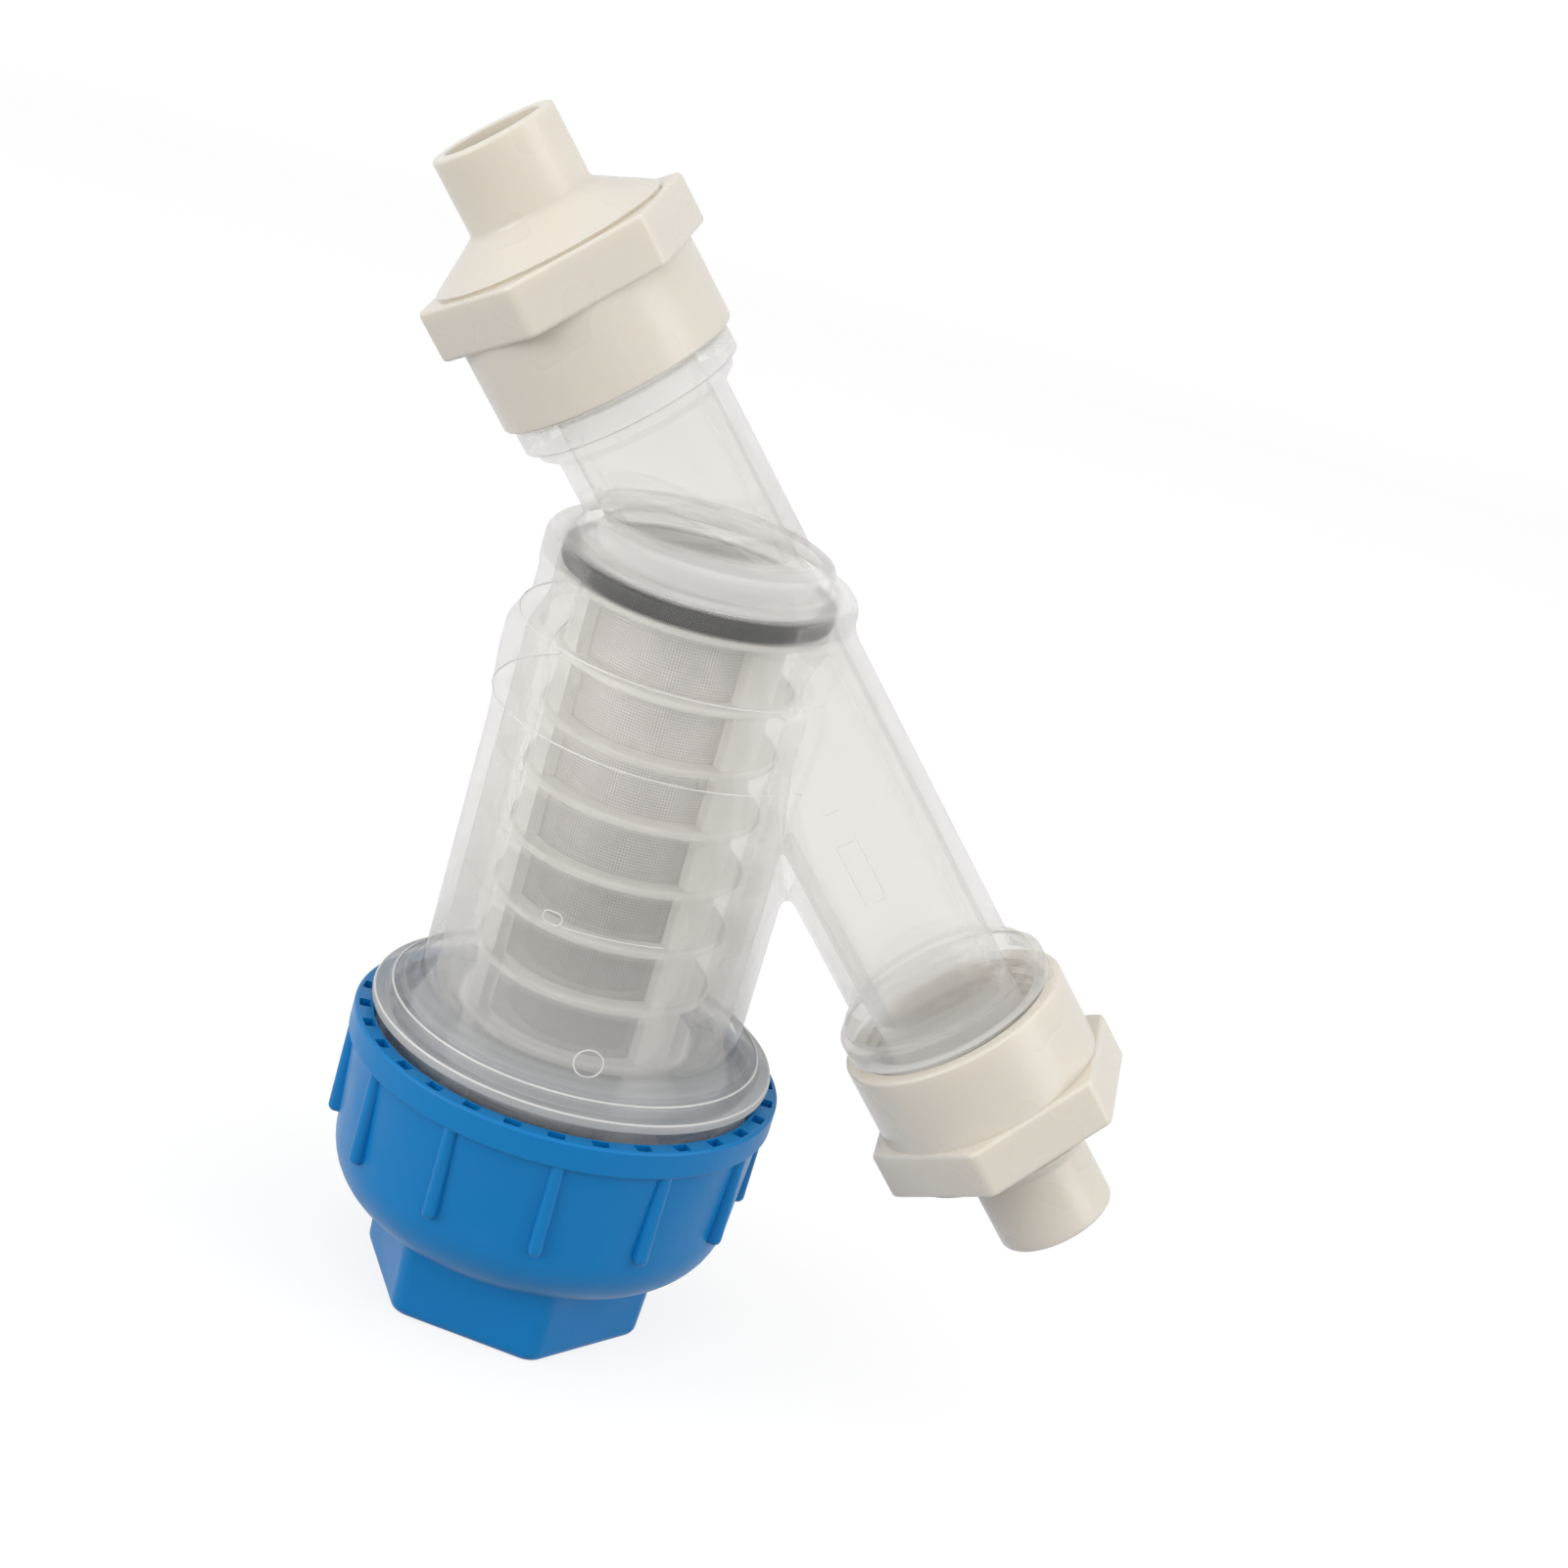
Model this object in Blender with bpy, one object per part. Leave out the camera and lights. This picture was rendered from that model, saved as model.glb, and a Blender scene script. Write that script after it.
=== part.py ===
"""Clear plastic Y strainer for water: a straight pipe run with a screen chamber
branching off it at 42 degrees, a blue screw cap, a removable screen and two
reducing end fittings.

Frame: metres, +Z up. The part stands on the hexagonal end of its cap. The origin
is the centre of that end face, the screen chamber's axis is Z, and the pipe run
lies in the XZ plane, from its inlet at top left (-X) to its outlet (+X).

Heights along the chamber are written as a drop below the crossing, the point
where the chamber's axis meets the pipe run's axis. Lengths along the run are
measured outwards from the same point.
"""

from math import cos, pi, radians, sin

import bmesh
import bpy
from mathutils import Matrix, Vector

MM = 0.001

# Fits shared by all pieces
GAP = 0.3 * MM
BRANCH_ANGLE = radians(42)

# Roundness of the turned shapes
BODY_SIDES = 40
PIPE_SIDES = 30
CAP_SIDES = 45
FITTING_SIDES = 30
SCREEN_SIDES = 27
SEAL_SECTION_SIDES = 8

# Pipe run of the clear body
PIPE_RADIUS = 18.4 * MM
PIPE_WALL = 3.15 * MM
COLLAR_RADIUS = 23.3 * MM
COLLAR_LENGTH = 4.9 * MM
COLLAR_EDGE = 0.6 * MM
BEAD_RADIUS = 21.4 * MM
BEAD_LENGTH = 2.3 * MM
SPIGOT_ROOT_RADIUS = 19.5 * MM
SPIGOT_LENGTH = 16.5 * MM
PIPE_THREAD_DEPTH = 1.45 * MM
INLET_FACE = 38.7 * MM
OUTLET_FACE = 112.2 * MM

# Head and screen chamber of the clear body
HEAD_TOP = 2.9 * MM
HEAD_ROOF = 2.6 * MM
HEAD_BOSS_WALL = 3.4 * MM
HEAD_BOSS_EDGE = 1.8 * MM
HEAD_LIP = 0.4 * MM
HEAD_SHOULDER_DROP = 1.9 * MM
HEAD_ROUNDING = 4.5 * MM
HEAD_SKIRT_DROP = 10.5 * MM
THROAT_WALL = 3.4 * MM
THROAT_END_DROP = 18.0 * MM
BELT_RADIUS = 35.5 * MM
BELT_TOP_DROP = 24.5 * MM
BELT_END_DROP = 31.5 * MM
CHAMBER_RADIUS = 34.2 * MM
CHAMBER_STEP_DROP = 38.2 * MM
CHAMBER_STEP = 0.3 * MM
CHAMBER_STEP_LENGTH = 7.0 * MM
CHAMBER_END_DROP = 105.0 * MM
CHAMBER_WALL = 3.0 * MM
SEAT_LEDGE_WIDTH = 6.0 * MM
SEAT_DROP = 4.7 * MM

# Shoulder, flange and threaded neck at the chamber's open end
SHOULDER_BEAD_RADIUS = 39.6 * MM
SHOULDER_BEAD_HEIGHT = 2.6 * MM
FLANGE_RADIUS = 43.0 * MM
FLANGE_HEIGHT = 2.4 * MM
SHOULDER_EDGE = 0.8 * MM
NECK_ROOT_RADIUS = 39.0 * MM
NECK_LENGTH = 19.5 * MM
NECK_WALL = 4.4 * MM
NECK_THREAD_DEPTH = 1.6 * MM

# Screw cap
RIM_DROP = 112.5 * MM
CAP_HEIGHT = 59.5 * MM
RIM_WALL = 2.4 * MM
RIM_HEIGHT = 6.1 * MM
RIM_EDGE = 0.5 * MM
RIM_RECESS_WIDTH = 2.5 * MM
RIM_RECESS_DEPTH = 2.6 * MM
CAP_TOP_WALL = 3.4 * MM
CAP_WAIST_WALL = 2.2 * MM
CAP_WAIST_HEIGHT = 32.0 * MM
CAP_FOOT_WALL = 4.5 * MM
CAP_FLOOR_THICKNESS = 3.0 * MM
CAP_FLOOR_MARGIN = 1.5 * MM
DIRT_POCKET_RADIUS = 18.0 * MM
DIRT_POCKET_FLOOR = 4.5 * MM
BOWL_STEPS = 5

CAP_RIBS = 12
CAP_RIB_TURN = radians(3)
CAP_RIB_WIDTH = 3.0 * MM
CAP_RIB_HEIGHT = 2.5 * MM
CAP_RIB_LOW = 32.4 * MM
CAP_RIB_TIP = 0.4
RIM_POCKETS = 30
RIM_POCKET_TURN = radians(6.3)
RIM_POCKET_WIDTH = 3.6 * MM
RIM_POCKET_DEPTH = 2.0 * MM
RIM_POCKET_WALL = 1.0 * MM

HEX_HEIGHT = 18.0 * MM
HEX_CORNER_RADIUS = 32.2 * MM
HEX_TAPER = 0.8 * MM
HEX_CORNER_ROUNDING = 3.6 * MM
HEX_END_ROUNDING = 2.0 * MM
HEX_TURN = radians(-13.5)

# Screen: cage, woven sleeve and seals
SLEEVE_RADIUS = 20.2 * MM
SLEEVE_WALL = 0.4 * MM
SLEEVE_LIP = 1.6 * MM
CAGE_BAR_THICKNESS = 2.9 * MM
CAGE_BARS = 3
CAGE_BAR_SPAN = radians(24)
CAGE_BAR_TURN = radians(-44)
CAGE_RING_REACH = 1.6 * MM
CAGE_RING_THICKNESS = 1.8 * MM
CAGE_RING_PITCH = 13.3 * MM
CAGE_FIRST_RING_DROP = 25.7 * MM
CAGE_HUB_WALL = 4.7 * MM
CAGE_FLANGE_INSET = 0.2 * MM
CAGE_FLANGE_HEIGHT = 1.6 * MM
CAGE_FOOT_HEIGHT = 7.0 * MM
SCREEN_SEAL_HEIGHT = 4.0 * MM
SCREEN_SEAL_EDGE = 0.7 * MM
SCREEN_SEAL_WIDTH = 3.1 * MM
CAP_SEAL_SECTION = 3.4 * MM

# Reducing end fittings, measured along their axis from the skirt's open end
SKIRT_GAP = 1.2 * MM
SKIRT_RADIUS = 24.9 * MM
SKIRT_LENGTH = 17.9 * MM
SKIRT_EDGE = 0.5 * MM
FITTING_HEX_FLATS = 51.0 * MM
FITTING_HEX_HEIGHT = 10.8 * MM
FITTING_HEX_EDGE = 0.8 * MM
FITTING_HEX_CORNER = 2.2 * MM
FITTING_HEX_TURN_IN = radians(15.7)
FITTING_HEX_TURN_OUT = radians(40.9)
GROOVE_WIDTH = 0.6 * MM
GROOVE_RADIUS = 23.9 * MM
CONE_RADIUS = 24.6 * MM
CONE_HEIGHT = 7.0 * MM
SOCKET_TUBE_RADIUS = 13.0 * MM
SOCKET_TUBE_LENGTH = 16.4 * MM
SOCKET_BORE_RADIUS = 10.1 * MM
SOCKET_DEPTH = 16.0 * MM
SOCKET_STOP_WIDTH = 1.4 * MM
SOCKET_STOP_LENGTH = 2.8 * MM
WASHER_THICKNESS = 2.0 * MM
WASHER_MARGIN = 0.6 * MM

# Worked out from the sizes above
CROSSING_HEIGHT = RIM_DROP + CAP_HEIGHT
HEAD_REACH = (PIPE_RADIUS * sin(BRANCH_ANGLE) - (HEAD_TOP - HEAD_ROOF)) / cos(BRANCH_ANGLE)
ARM_START = {-1: -HEAD_REACH, 1: PIPE_RADIUS}
CROSSING = Vector((0, 0, CROSSING_HEIGHT))
PIPE_BORE = PIPE_RADIUS - PIPE_WALL
SHOULDER_DROP = CHAMBER_END_DROP + SHOULDER_BEAD_HEIGHT
FLANGE_DROP = SHOULDER_DROP + FLANGE_HEIGHT
NECK_END_DROP = FLANGE_DROP + NECK_LENGTH
NECK_BORE = NECK_ROOT_RADIUS - NECK_WALL
CAP_BORE_RADIUS = NECK_ROOT_RADIUS + NECK_THREAD_DEPTH + GAP
RIM_RECESS_RADIUS = CAP_BORE_RADIUS + RIM_RECESS_WIDTH
RIM_RADIUS = RIM_RECESS_RADIUS + RIM_WALL
CAP_TOP_RADIUS = CAP_BORE_RADIUS + CAP_TOP_WALL
CAP_WAIST_RADIUS = CAP_BORE_RADIUS + CAP_WAIST_WALL
CAP_RIB_RADIUS = CAP_WAIST_RADIUS + CAP_RIB_HEIGHT
CAP_LEDGE_HEIGHT = CROSSING_HEIGHT - NECK_END_DROP - CAP_SEAL_SECTION - 2 * GAP
CAP_FLOOR_HEIGHT = HEX_HEIGHT + CAP_FLOOR_THICKNESS
CAGE_BORE = SLEEVE_RADIUS + GAP
CAGE_LIP_BORE = SLEEVE_RADIUS - SLEEVE_WALL - GAP
CAGE_BAR_RADIUS = CAGE_BORE + CAGE_BAR_THICKNESS
CAGE_RING_RADIUS = CAGE_BAR_RADIUS + CAGE_RING_REACH
CAGE_HUB_RADIUS = CAGE_BORE + CAGE_HUB_WALL
SCREEN_SEAL_RADIUS = CAGE_HUB_RADIUS + SCREEN_SEAL_WIDTH
CAGE_FLANGE_RADIUS = SCREEN_SEAL_RADIUS - CAGE_FLANGE_INSET
SEAT_RADIUS = SCREEN_SEAL_RADIUS + GAP
SEAT_LEDGE_RADIUS = SEAT_RADIUS - SEAT_LEDGE_WIDTH
HEAD_BOSS_RADIUS = SEAT_LEDGE_RADIUS + HEAD_BOSS_WALL
THROAT_RADIUS = SEAT_RADIUS + THROAT_WALL
HEAD_RADIUS = THROAT_RADIUS + HEAD_LIP
CAP_FLOOR_RADIUS = CAGE_RING_RADIUS + CAP_FLOOR_MARGIN
CAP_FOOT_RADIUS = CAP_FLOOR_RADIUS + CAP_FOOT_WALL
CAGE_TOP_DROP = SEAT_DROP + GAP
CAGE_FLANGE_DROP = CAGE_TOP_DROP + SCREEN_SEAL_HEIGHT + GAP
CAGE_FOOT_DROP = CROSSING_HEIGHT - CAP_FLOOR_HEIGHT - GAP
SKIRT_BORE = SPIGOT_ROOT_RADIUS + PIPE_THREAD_DEPTH + GAP
SKIRT_BORE_DEPTH = SPIGOT_LENGTH - SKIRT_GAP + WASHER_THICKNESS + 2 * GAP


def clear_scene():
    """Remove every object, so that the script can be run again."""
    for thing in list(bpy.data.objects):
        bpy.data.objects.remove(thing, do_unlink=True)


def plain_material(name, color, roughness, metallic=0.0, alpha=1.0):
    material = bpy.data.materials.new(name)
    material.use_nodes = True
    shader = material.node_tree.nodes["Principled BSDF"]
    shader.inputs["Base Color"].default_value = (*color, 1.0)
    shader.inputs["Roughness"].default_value = roughness
    shader.inputs["Metallic"].default_value = metallic
    shader.inputs["Alpha"].default_value = alpha
    return material


def new_object(name, bm, smooth_angle=radians(35)):
    """Turn a bmesh into a named object with outward faces and soft shading."""
    bmesh.ops.remove_doubles(bm, verts=bm.verts, dist=0.005 * MM)
    bmesh.ops.recalc_face_normals(bm, faces=bm.faces)
    mesh = bpy.data.meshes.new(name)
    bm.to_mesh(mesh)
    bm.free()
    mesh.shade_smooth()
    mesh.set_sharp_from_angle(angle=smooth_angle)
    thing = bpy.data.objects.new(name, mesh)
    bpy.context.collection.objects.link(thing)
    return thing


def turn(outline, sides, bm=None, start=0.0, sweep=2 * pi):
    """Revolve a closed outline of (radius, height) points about the Z axis."""
    bm = bm or bmesh.new()
    first = Matrix.Rotation(start, 3, "Z")
    points = [bm.verts.new(first @ Vector((radius, 0, height))) for radius, height in outline]
    edges = [bm.edges.new((points[i - 1], points[i])) for i in range(len(points))]
    whole = abs(sweep - 2 * pi) < 1e-6
    profile = edges if whole else [bm.faces.new(points)]
    bmesh.ops.spin(bm, geom=profile, axis=(0, 0, 1), cent=(0, 0, 0), angle=sweep,
                   steps=sides, use_merge=whole, use_duplicate=False)
    return bm


def arc(centre, radii, start, end, steps):
    """Points of an elliptical arc, both ends included."""
    angles = [radians(start + (end - start) * i / steps) for i in range(steps + 1)]
    return [(centre[0] + radii[0] * cos(a), centre[1] + radii[1] * sin(a)) for a in angles]


def hang(outline):
    """Change (radius, drop) points into (radius, height) ones."""
    return [(radius, -drop) for radius, drop in outline]


def hexagon(corner_radius, rounding, turn_by, arc_steps=2):
    """Corner points of a hexagon with rounded corners, as (x, y) pairs."""
    inset = rounding / cos(pi / 6)
    points = []
    for corner in range(6):
        middle = turn_by + corner * pi / 3
        centre = Vector((cos(middle), sin(middle))) * (corner_radius - inset)
        for step in range(arc_steps + 1):
            angle = middle + (step / arc_steps - 0.5) * pi / 3
            points.append(centre + Vector((cos(angle), sin(angle))) * rounding)
    return points


def loft(rings, bm=None):
    """Close a stack of equal rings, given as lists of 3-D points, into a solid."""
    bm = bm or bmesh.new()
    loops = [[bm.verts.new(point) for point in ring] for ring in rings]
    count = len(rings[0])
    for low, high in zip(loops, loops[1:]):
        for i in range(count):
            j = (i + 1) % count
            bm.faces.new((low[i], low[j], high[j], high[i]))
    bm.faces.new(list(reversed(loops[0])))
    bm.faces.new(loops[-1])
    return bm


def block(bm, low, high, matrix):
    """Add a box between two corners, moved by a matrix."""
    made = bmesh.ops.create_cube(bm, size=1)
    size = Vector(high) - Vector(low)
    centre = (Vector(high) + Vector(low)) / 2
    place = matrix @ Matrix.Translation(centre) @ Matrix.Diagonal((*size, 1))
    bmesh.ops.transform(bm, matrix=place, verts=made["verts"])


def combine(thing, tool, operation):
    """Add or cut another solid, which stays in the file as a hidden guide."""
    tool.hide_render = True
    tool.display_type = "WIRE"
    tool.parent = thing
    modifier = thing.modifiers.new(tool.name, "BOOLEAN")
    modifier.operation = operation
    modifier.solver = "EXACT"
    modifier.object = tool


def run_matrix(side):
    """Local Z along the pipe run, outwards: side -1 is the inlet, 1 the outlet."""
    return Matrix.Rotation(pi - BRANCH_ANGLE if side > 0 else -BRANCH_ANGLE, 4, "Y")


def face_distance(side):
    """Distance from the crossing to the outer face of the collar on that side."""
    return OUTLET_FACE if side > 0 else INLET_FACE


def chamber_outside():
    """Head, throat, chamber, stepped shoulder, flange and neck as one turned solid."""
    outline = [(0, -HEAD_TOP), (HEAD_BOSS_RADIUS - HEAD_BOSS_EDGE, -HEAD_TOP),
               (HEAD_BOSS_RADIUS, HEAD_BOSS_EDGE - HEAD_TOP), (HEAD_BOSS_RADIUS, HEAD_SHOULDER_DROP)]
    outline += arc((HEAD_RADIUS - HEAD_ROUNDING, HEAD_SHOULDER_DROP + HEAD_ROUNDING),
                   (HEAD_ROUNDING, HEAD_ROUNDING), -90, 0, 3)
    outline += [
        (HEAD_RADIUS, HEAD_SKIRT_DROP - (HEAD_RADIUS - THROAT_RADIUS)),
        (THROAT_RADIUS, HEAD_SKIRT_DROP),
        (THROAT_RADIUS, THROAT_END_DROP),
        (BELT_RADIUS, BELT_TOP_DROP),
        (BELT_RADIUS, BELT_END_DROP),
        (CHAMBER_RADIUS + 2 * CHAMBER_STEP, CHAMBER_STEP_DROP),
        (CHAMBER_RADIUS + CHAMBER_STEP, CHAMBER_STEP_DROP + CHAMBER_STEP),
        (CHAMBER_RADIUS, CHAMBER_STEP_DROP + CHAMBER_STEP_LENGTH),
        (CHAMBER_RADIUS, CHAMBER_END_DROP - SHOULDER_EDGE),
        (CHAMBER_RADIUS + SHOULDER_EDGE, CHAMBER_END_DROP),
        (SHOULDER_BEAD_RADIUS - SHOULDER_EDGE, CHAMBER_END_DROP),
        (SHOULDER_BEAD_RADIUS, CHAMBER_END_DROP + SHOULDER_EDGE),
        (SHOULDER_BEAD_RADIUS, SHOULDER_DROP),
        (FLANGE_RADIUS - SHOULDER_EDGE, SHOULDER_DROP),
        (FLANGE_RADIUS, SHOULDER_DROP + SHOULDER_EDGE),
        (FLANGE_RADIUS, FLANGE_DROP - SHOULDER_EDGE),
        (FLANGE_RADIUS - SHOULDER_EDGE, FLANGE_DROP),
        (NECK_ROOT_RADIUS, FLANGE_DROP),
        (NECK_ROOT_RADIUS, NECK_END_DROP),
        (0, NECK_END_DROP),
    ]
    return turn(hang(outline), BODY_SIDES)


def chamber_inside():
    """The hollow of the chamber: domed head, screen seat and bore, open below."""
    roof = -HEAD_TOP + HEAD_ROOF
    past_end = NECK_END_DROP + NECK_WALL
    dome = HEAD_BOSS_EDGE
    outline = [
        (0, roof),
        (SEAT_LEDGE_RADIUS - dome, roof),
        (SEAT_LEDGE_RADIUS, roof + dome),
        (SEAT_LEDGE_RADIUS, SEAT_DROP),
        (SEAT_RADIUS, SEAT_DROP),
        (SEAT_RADIUS, THROAT_END_DROP),
        (CHAMBER_RADIUS - CHAMBER_WALL, BELT_TOP_DROP),
        (CHAMBER_RADIUS - CHAMBER_WALL, CHAMBER_END_DROP),
        (NECK_BORE, FLANGE_DROP),
        (NECK_BORE, past_end),
        (0, past_end),
    ]
    return turn(hang(outline), BODY_SIDES)


def run_outside(side):
    """One arm of the pipe run, with bead, collar and threaded spigot."""
    face = face_distance(side)
    collar = face - COLLAR_LENGTH
    bead = collar - BEAD_LENGTH
    inner_end = ARM_START[side]
    edge = COLLAR_EDGE
    outline = [
        (0, inner_end),
        (PIPE_RADIUS, inner_end),
        (PIPE_RADIUS, bead - BEAD_LENGTH),
        (BEAD_RADIUS - edge, bead),
        (BEAD_RADIUS, bead + edge),
        (BEAD_RADIUS, collar),
        (COLLAR_RADIUS - edge, collar),
        (COLLAR_RADIUS, collar + edge),
        (COLLAR_RADIUS, face - edge),
        (COLLAR_RADIUS - edge, face),
        (SPIGOT_ROOT_RADIUS, face),
        (SPIGOT_ROOT_RADIUS, face + SPIGOT_LENGTH),
        (0, face + SPIGOT_LENGTH),
    ]
    return turn(outline, PIPE_SIDES)


def run_inside(side):
    """The bore of one arm, from inside the chamber out through the spigot."""
    start = ARM_START[side]
    end = face_distance(side) + SPIGOT_LENGTH + PIPE_WALL
    return turn([(0, start), (PIPE_BORE, start), (PIPE_BORE, end), (0, end)], PIPE_SIDES)


def make_body():
    """The clear body: one moulding, made by joining and then hollowing turned solids."""
    body = new_object("body", chamber_outside())
    body.location = CROSSING
    arms = {"inlet": -1, "outlet": 1}
    for name, side in arms.items():
        arm = new_object(name + "_arm_guide", run_outside(side))
        arm.matrix_local = run_matrix(side)
        combine(body, arm, "UNION")
    combine(body, new_object("chamber_hollow_guide", chamber_inside()), "DIFFERENCE")
    for name, side in arms.items():
        bore = new_object(name + "_bore_guide", run_inside(side))
        bore.matrix_local = run_matrix(side)
        combine(body, bore, "DIFFERENCE")
    body.data.materials.append(plain_material("clear plastic", (0.84, 0.84, 0.82), 0.12, alpha=0.3))
    return body


def cap_bowl(inside):
    """Rounded part of the cap's section, from its foot up to its waist."""
    if inside:
        height = CAP_LEDGE_HEIGHT - CAP_FLOOR_HEIGHT
        reach = NECK_BORE - CAP_FLOOR_RADIUS
        return arc((CAP_FLOOR_RADIUS, CAP_LEDGE_HEIGHT), (reach, height), -90, 0, BOWL_STEPS)
    height = CAP_WAIST_HEIGHT - HEX_HEIGHT
    reach = CAP_WAIST_RADIUS - CAP_FOOT_RADIUS
    return arc((CAP_FOOT_RADIUS, CAP_WAIST_HEIGHT), (reach, height), -90, 0, BOWL_STEPS)


def cap_shell():
    """The cap's turned section: bowl, waist, rim band, thread bore and dirt pocket."""
    rim_low = CAP_HEIGHT - RIM_HEIGHT
    recess = CAP_HEIGHT - RIM_RECESS_DEPTH
    inside_hexagon = HEX_HEIGHT - CAP_FLOOR_THICKNESS
    outline = [(0, inside_hexagon), (DIRT_POCKET_RADIUS, inside_hexagon),
               (DIRT_POCKET_RADIUS, HEX_HEIGHT)]
    outline += cap_bowl(inside=False)
    outline += [
        (CAP_TOP_RADIUS, rim_low),
        (RIM_RADIUS - RIM_EDGE, rim_low),
        (RIM_RADIUS, rim_low + RIM_EDGE),
        (RIM_RADIUS, CAP_HEIGHT - RIM_EDGE),
        (RIM_RADIUS - RIM_EDGE, CAP_HEIGHT),
        (RIM_RECESS_RADIUS, CAP_HEIGHT),
        (RIM_RECESS_RADIUS, recess),
        (CAP_BORE_RADIUS, recess - (RIM_RECESS_RADIUS - CAP_BORE_RADIUS)),
        (CAP_BORE_RADIUS, CAP_LEDGE_HEIGHT),
    ]
    outline += list(reversed(cap_bowl(inside=True)))
    outline += [(0, CAP_FLOOR_HEIGHT)]
    return turn(outline, CAP_SIDES)


def cap_hexagon():
    """The spanner hexagon under the bowl, tapered and rounded at its end."""
    rounding = arc((0, HEX_END_ROUNDING), (HEX_END_ROUNDING, HEX_END_ROUNDING), -90, 0, 3)
    levels = [(height, HEX_END_ROUNDING - reach) for reach, height in rounding]
    levels.append((HEX_HEIGHT + CAP_FLOOR_THICKNESS / 2, 0))
    rings = []
    for height, inset in levels:
        corner = HEX_CORNER_RADIUS - HEX_TAPER * (1 - height / HEX_HEIGHT) - inset
        ring = hexagon(corner, HEX_CORNER_ROUNDING, HEX_TURN)
        rings.append([(point.x, point.y, height) for point in ring])
    return loft(rings)


def cap_ribs():
    """Grip ribs below the rim band, each with a half-round lower end."""
    bm = bmesh.new()
    half = CAP_RIB_WIDTH / 2
    root = CAP_BORE_RADIUS + (CAP_WAIST_RADIUS - CAP_BORE_RADIUS) / 2
    top = CAP_HEIGHT - RIM_HEIGHT / 2
    flat = half / 2
    crown = CAP_RIB_RADIUS - flat
    section = [(root, -half), (crown, -half), (CAP_RIB_RADIUS, -flat),
               (CAP_RIB_RADIUS, flat), (crown, half), (root, half)]
    for index in range(CAP_RIBS):
        place = Matrix.Rotation(CAP_RIB_TURN + index * 2 * pi / CAP_RIBS, 4, "Z")
        rings = []
        for height, size in ((CAP_RIB_LOW, CAP_RIB_TIP), (CAP_RIB_LOW + half, 1), (top, 1)):
            ring = [Vector((root + (reach - root) * size, y * size, height)) for reach, y in section]
            rings.append([place @ point for point in ring])
        loft(rings, bm)
    return bm


def rim_pockets():
    """Small square pockets cut down into the top of the rim band."""
    bm = bmesh.new()
    half = RIM_POCKET_WIDTH / 2
    outer = RIM_RADIUS - RIM_POCKET_WALL
    inner = RIM_RECESS_RADIUS - RIM_POCKET_WALL / 2
    for index in range(RIM_POCKETS):
        place = Matrix.Rotation(RIM_POCKET_TURN + index * 2 * pi / RIM_POCKETS, 4, "Z")
        low = CAP_HEIGHT - RIM_POCKET_DEPTH
        block(bm, (inner, -half, low), (outer, half, CAP_HEIGHT + GAP), place)
    return bm


def make_cap():
    """The screw cap: bowl, hexagon, ribs and rim in one moulding."""
    cap = new_object("cap", cap_shell())
    combine(cap, new_object("cap_hexagon_guide", cap_hexagon()), "UNION")
    combine(cap, new_object("cap_ribs_guide", cap_ribs()), "UNION")
    low = DIRT_POCKET_FLOOR
    high = CAP_FLOOR_HEIGHT + GAP
    dirt_pocket = [(0, low), (DIRT_POCKET_RADIUS, low), (DIRT_POCKET_RADIUS, high), (0, high)]
    combine(cap, new_object("dirt_pocket_guide", turn(dirt_pocket, CAP_SIDES)), "DIFFERENCE")
    combine(cap, new_object("rim_pockets_guide", rim_pockets()), "DIFFERENCE")
    cap.data.materials.append(plain_material("blue plastic", (0.027, 0.205, 0.52), 0.38))
    return cap


def torus(bm, radius, section, height, sides):
    """Add a ring of round section lying flat at a height."""
    outline = [(radius + section / 2 * cos(2 * pi * i / SEAL_SECTION_SIDES),
                height + section / 2 * sin(2 * pi * i / SEAL_SECTION_SIDES))
               for i in range(SEAL_SECTION_SIDES)]
    return turn(outline, sides, bm)


def make_cap_seal():
    """O-ring between the end of the clear neck and the ledge inside the cap."""
    middle = (NECK_ROOT_RADIUS + NECK_BORE) / 2
    height = CAP_LEDGE_HEIGHT + GAP + CAP_SEAL_SECTION / 2
    seal = new_object("cap_seal", torus(None, middle, CAP_SEAL_SECTION, height, SCREEN_SIDES))
    seal.data.materials.append(plain_material("black rubber", (0.02, 0.02, 0.022), 0.6))
    return seal


def cage_outline():
    """Section of the cage before its windows are cut: hub, flange, rings and foot."""
    flange_end = CAGE_FLANGE_DROP + CAGE_FLANGE_HEIGHT
    foot_top = CAGE_FOOT_DROP - CAGE_FOOT_HEIGHT
    outside = [(CAGE_HUB_RADIUS, CAGE_TOP_DROP), (CAGE_HUB_RADIUS, CAGE_FLANGE_DROP),
               (CAGE_FLANGE_RADIUS, CAGE_FLANGE_DROP), (CAGE_FLANGE_RADIUS, flange_end),
               (CAGE_BAR_RADIUS, flange_end)]
    for drop in ring_drops():
        outside += [(CAGE_BAR_RADIUS, drop), (CAGE_RING_RADIUS, drop),
                    (CAGE_RING_RADIUS, drop + CAGE_RING_THICKNESS),
                    (CAGE_BAR_RADIUS, drop + CAGE_RING_THICKNESS)]
    outside += [(CAGE_BAR_RADIUS, foot_top), (CAGE_RING_RADIUS, foot_top),
                (CAGE_RING_RADIUS, CAGE_FOOT_DROP)]
    inside = [(CAGE_LIP_BORE, CAGE_FOOT_DROP), (CAGE_LIP_BORE, CAGE_FOOT_DROP - SLEEVE_LIP),
              (CAGE_BORE, CAGE_FOOT_DROP - SLEEVE_LIP), (CAGE_BORE, CAGE_TOP_DROP + SLEEVE_LIP),
              (CAGE_LIP_BORE, CAGE_TOP_DROP + SLEEVE_LIP), (CAGE_LIP_BORE, CAGE_TOP_DROP)]
    return outside + inside


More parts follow.
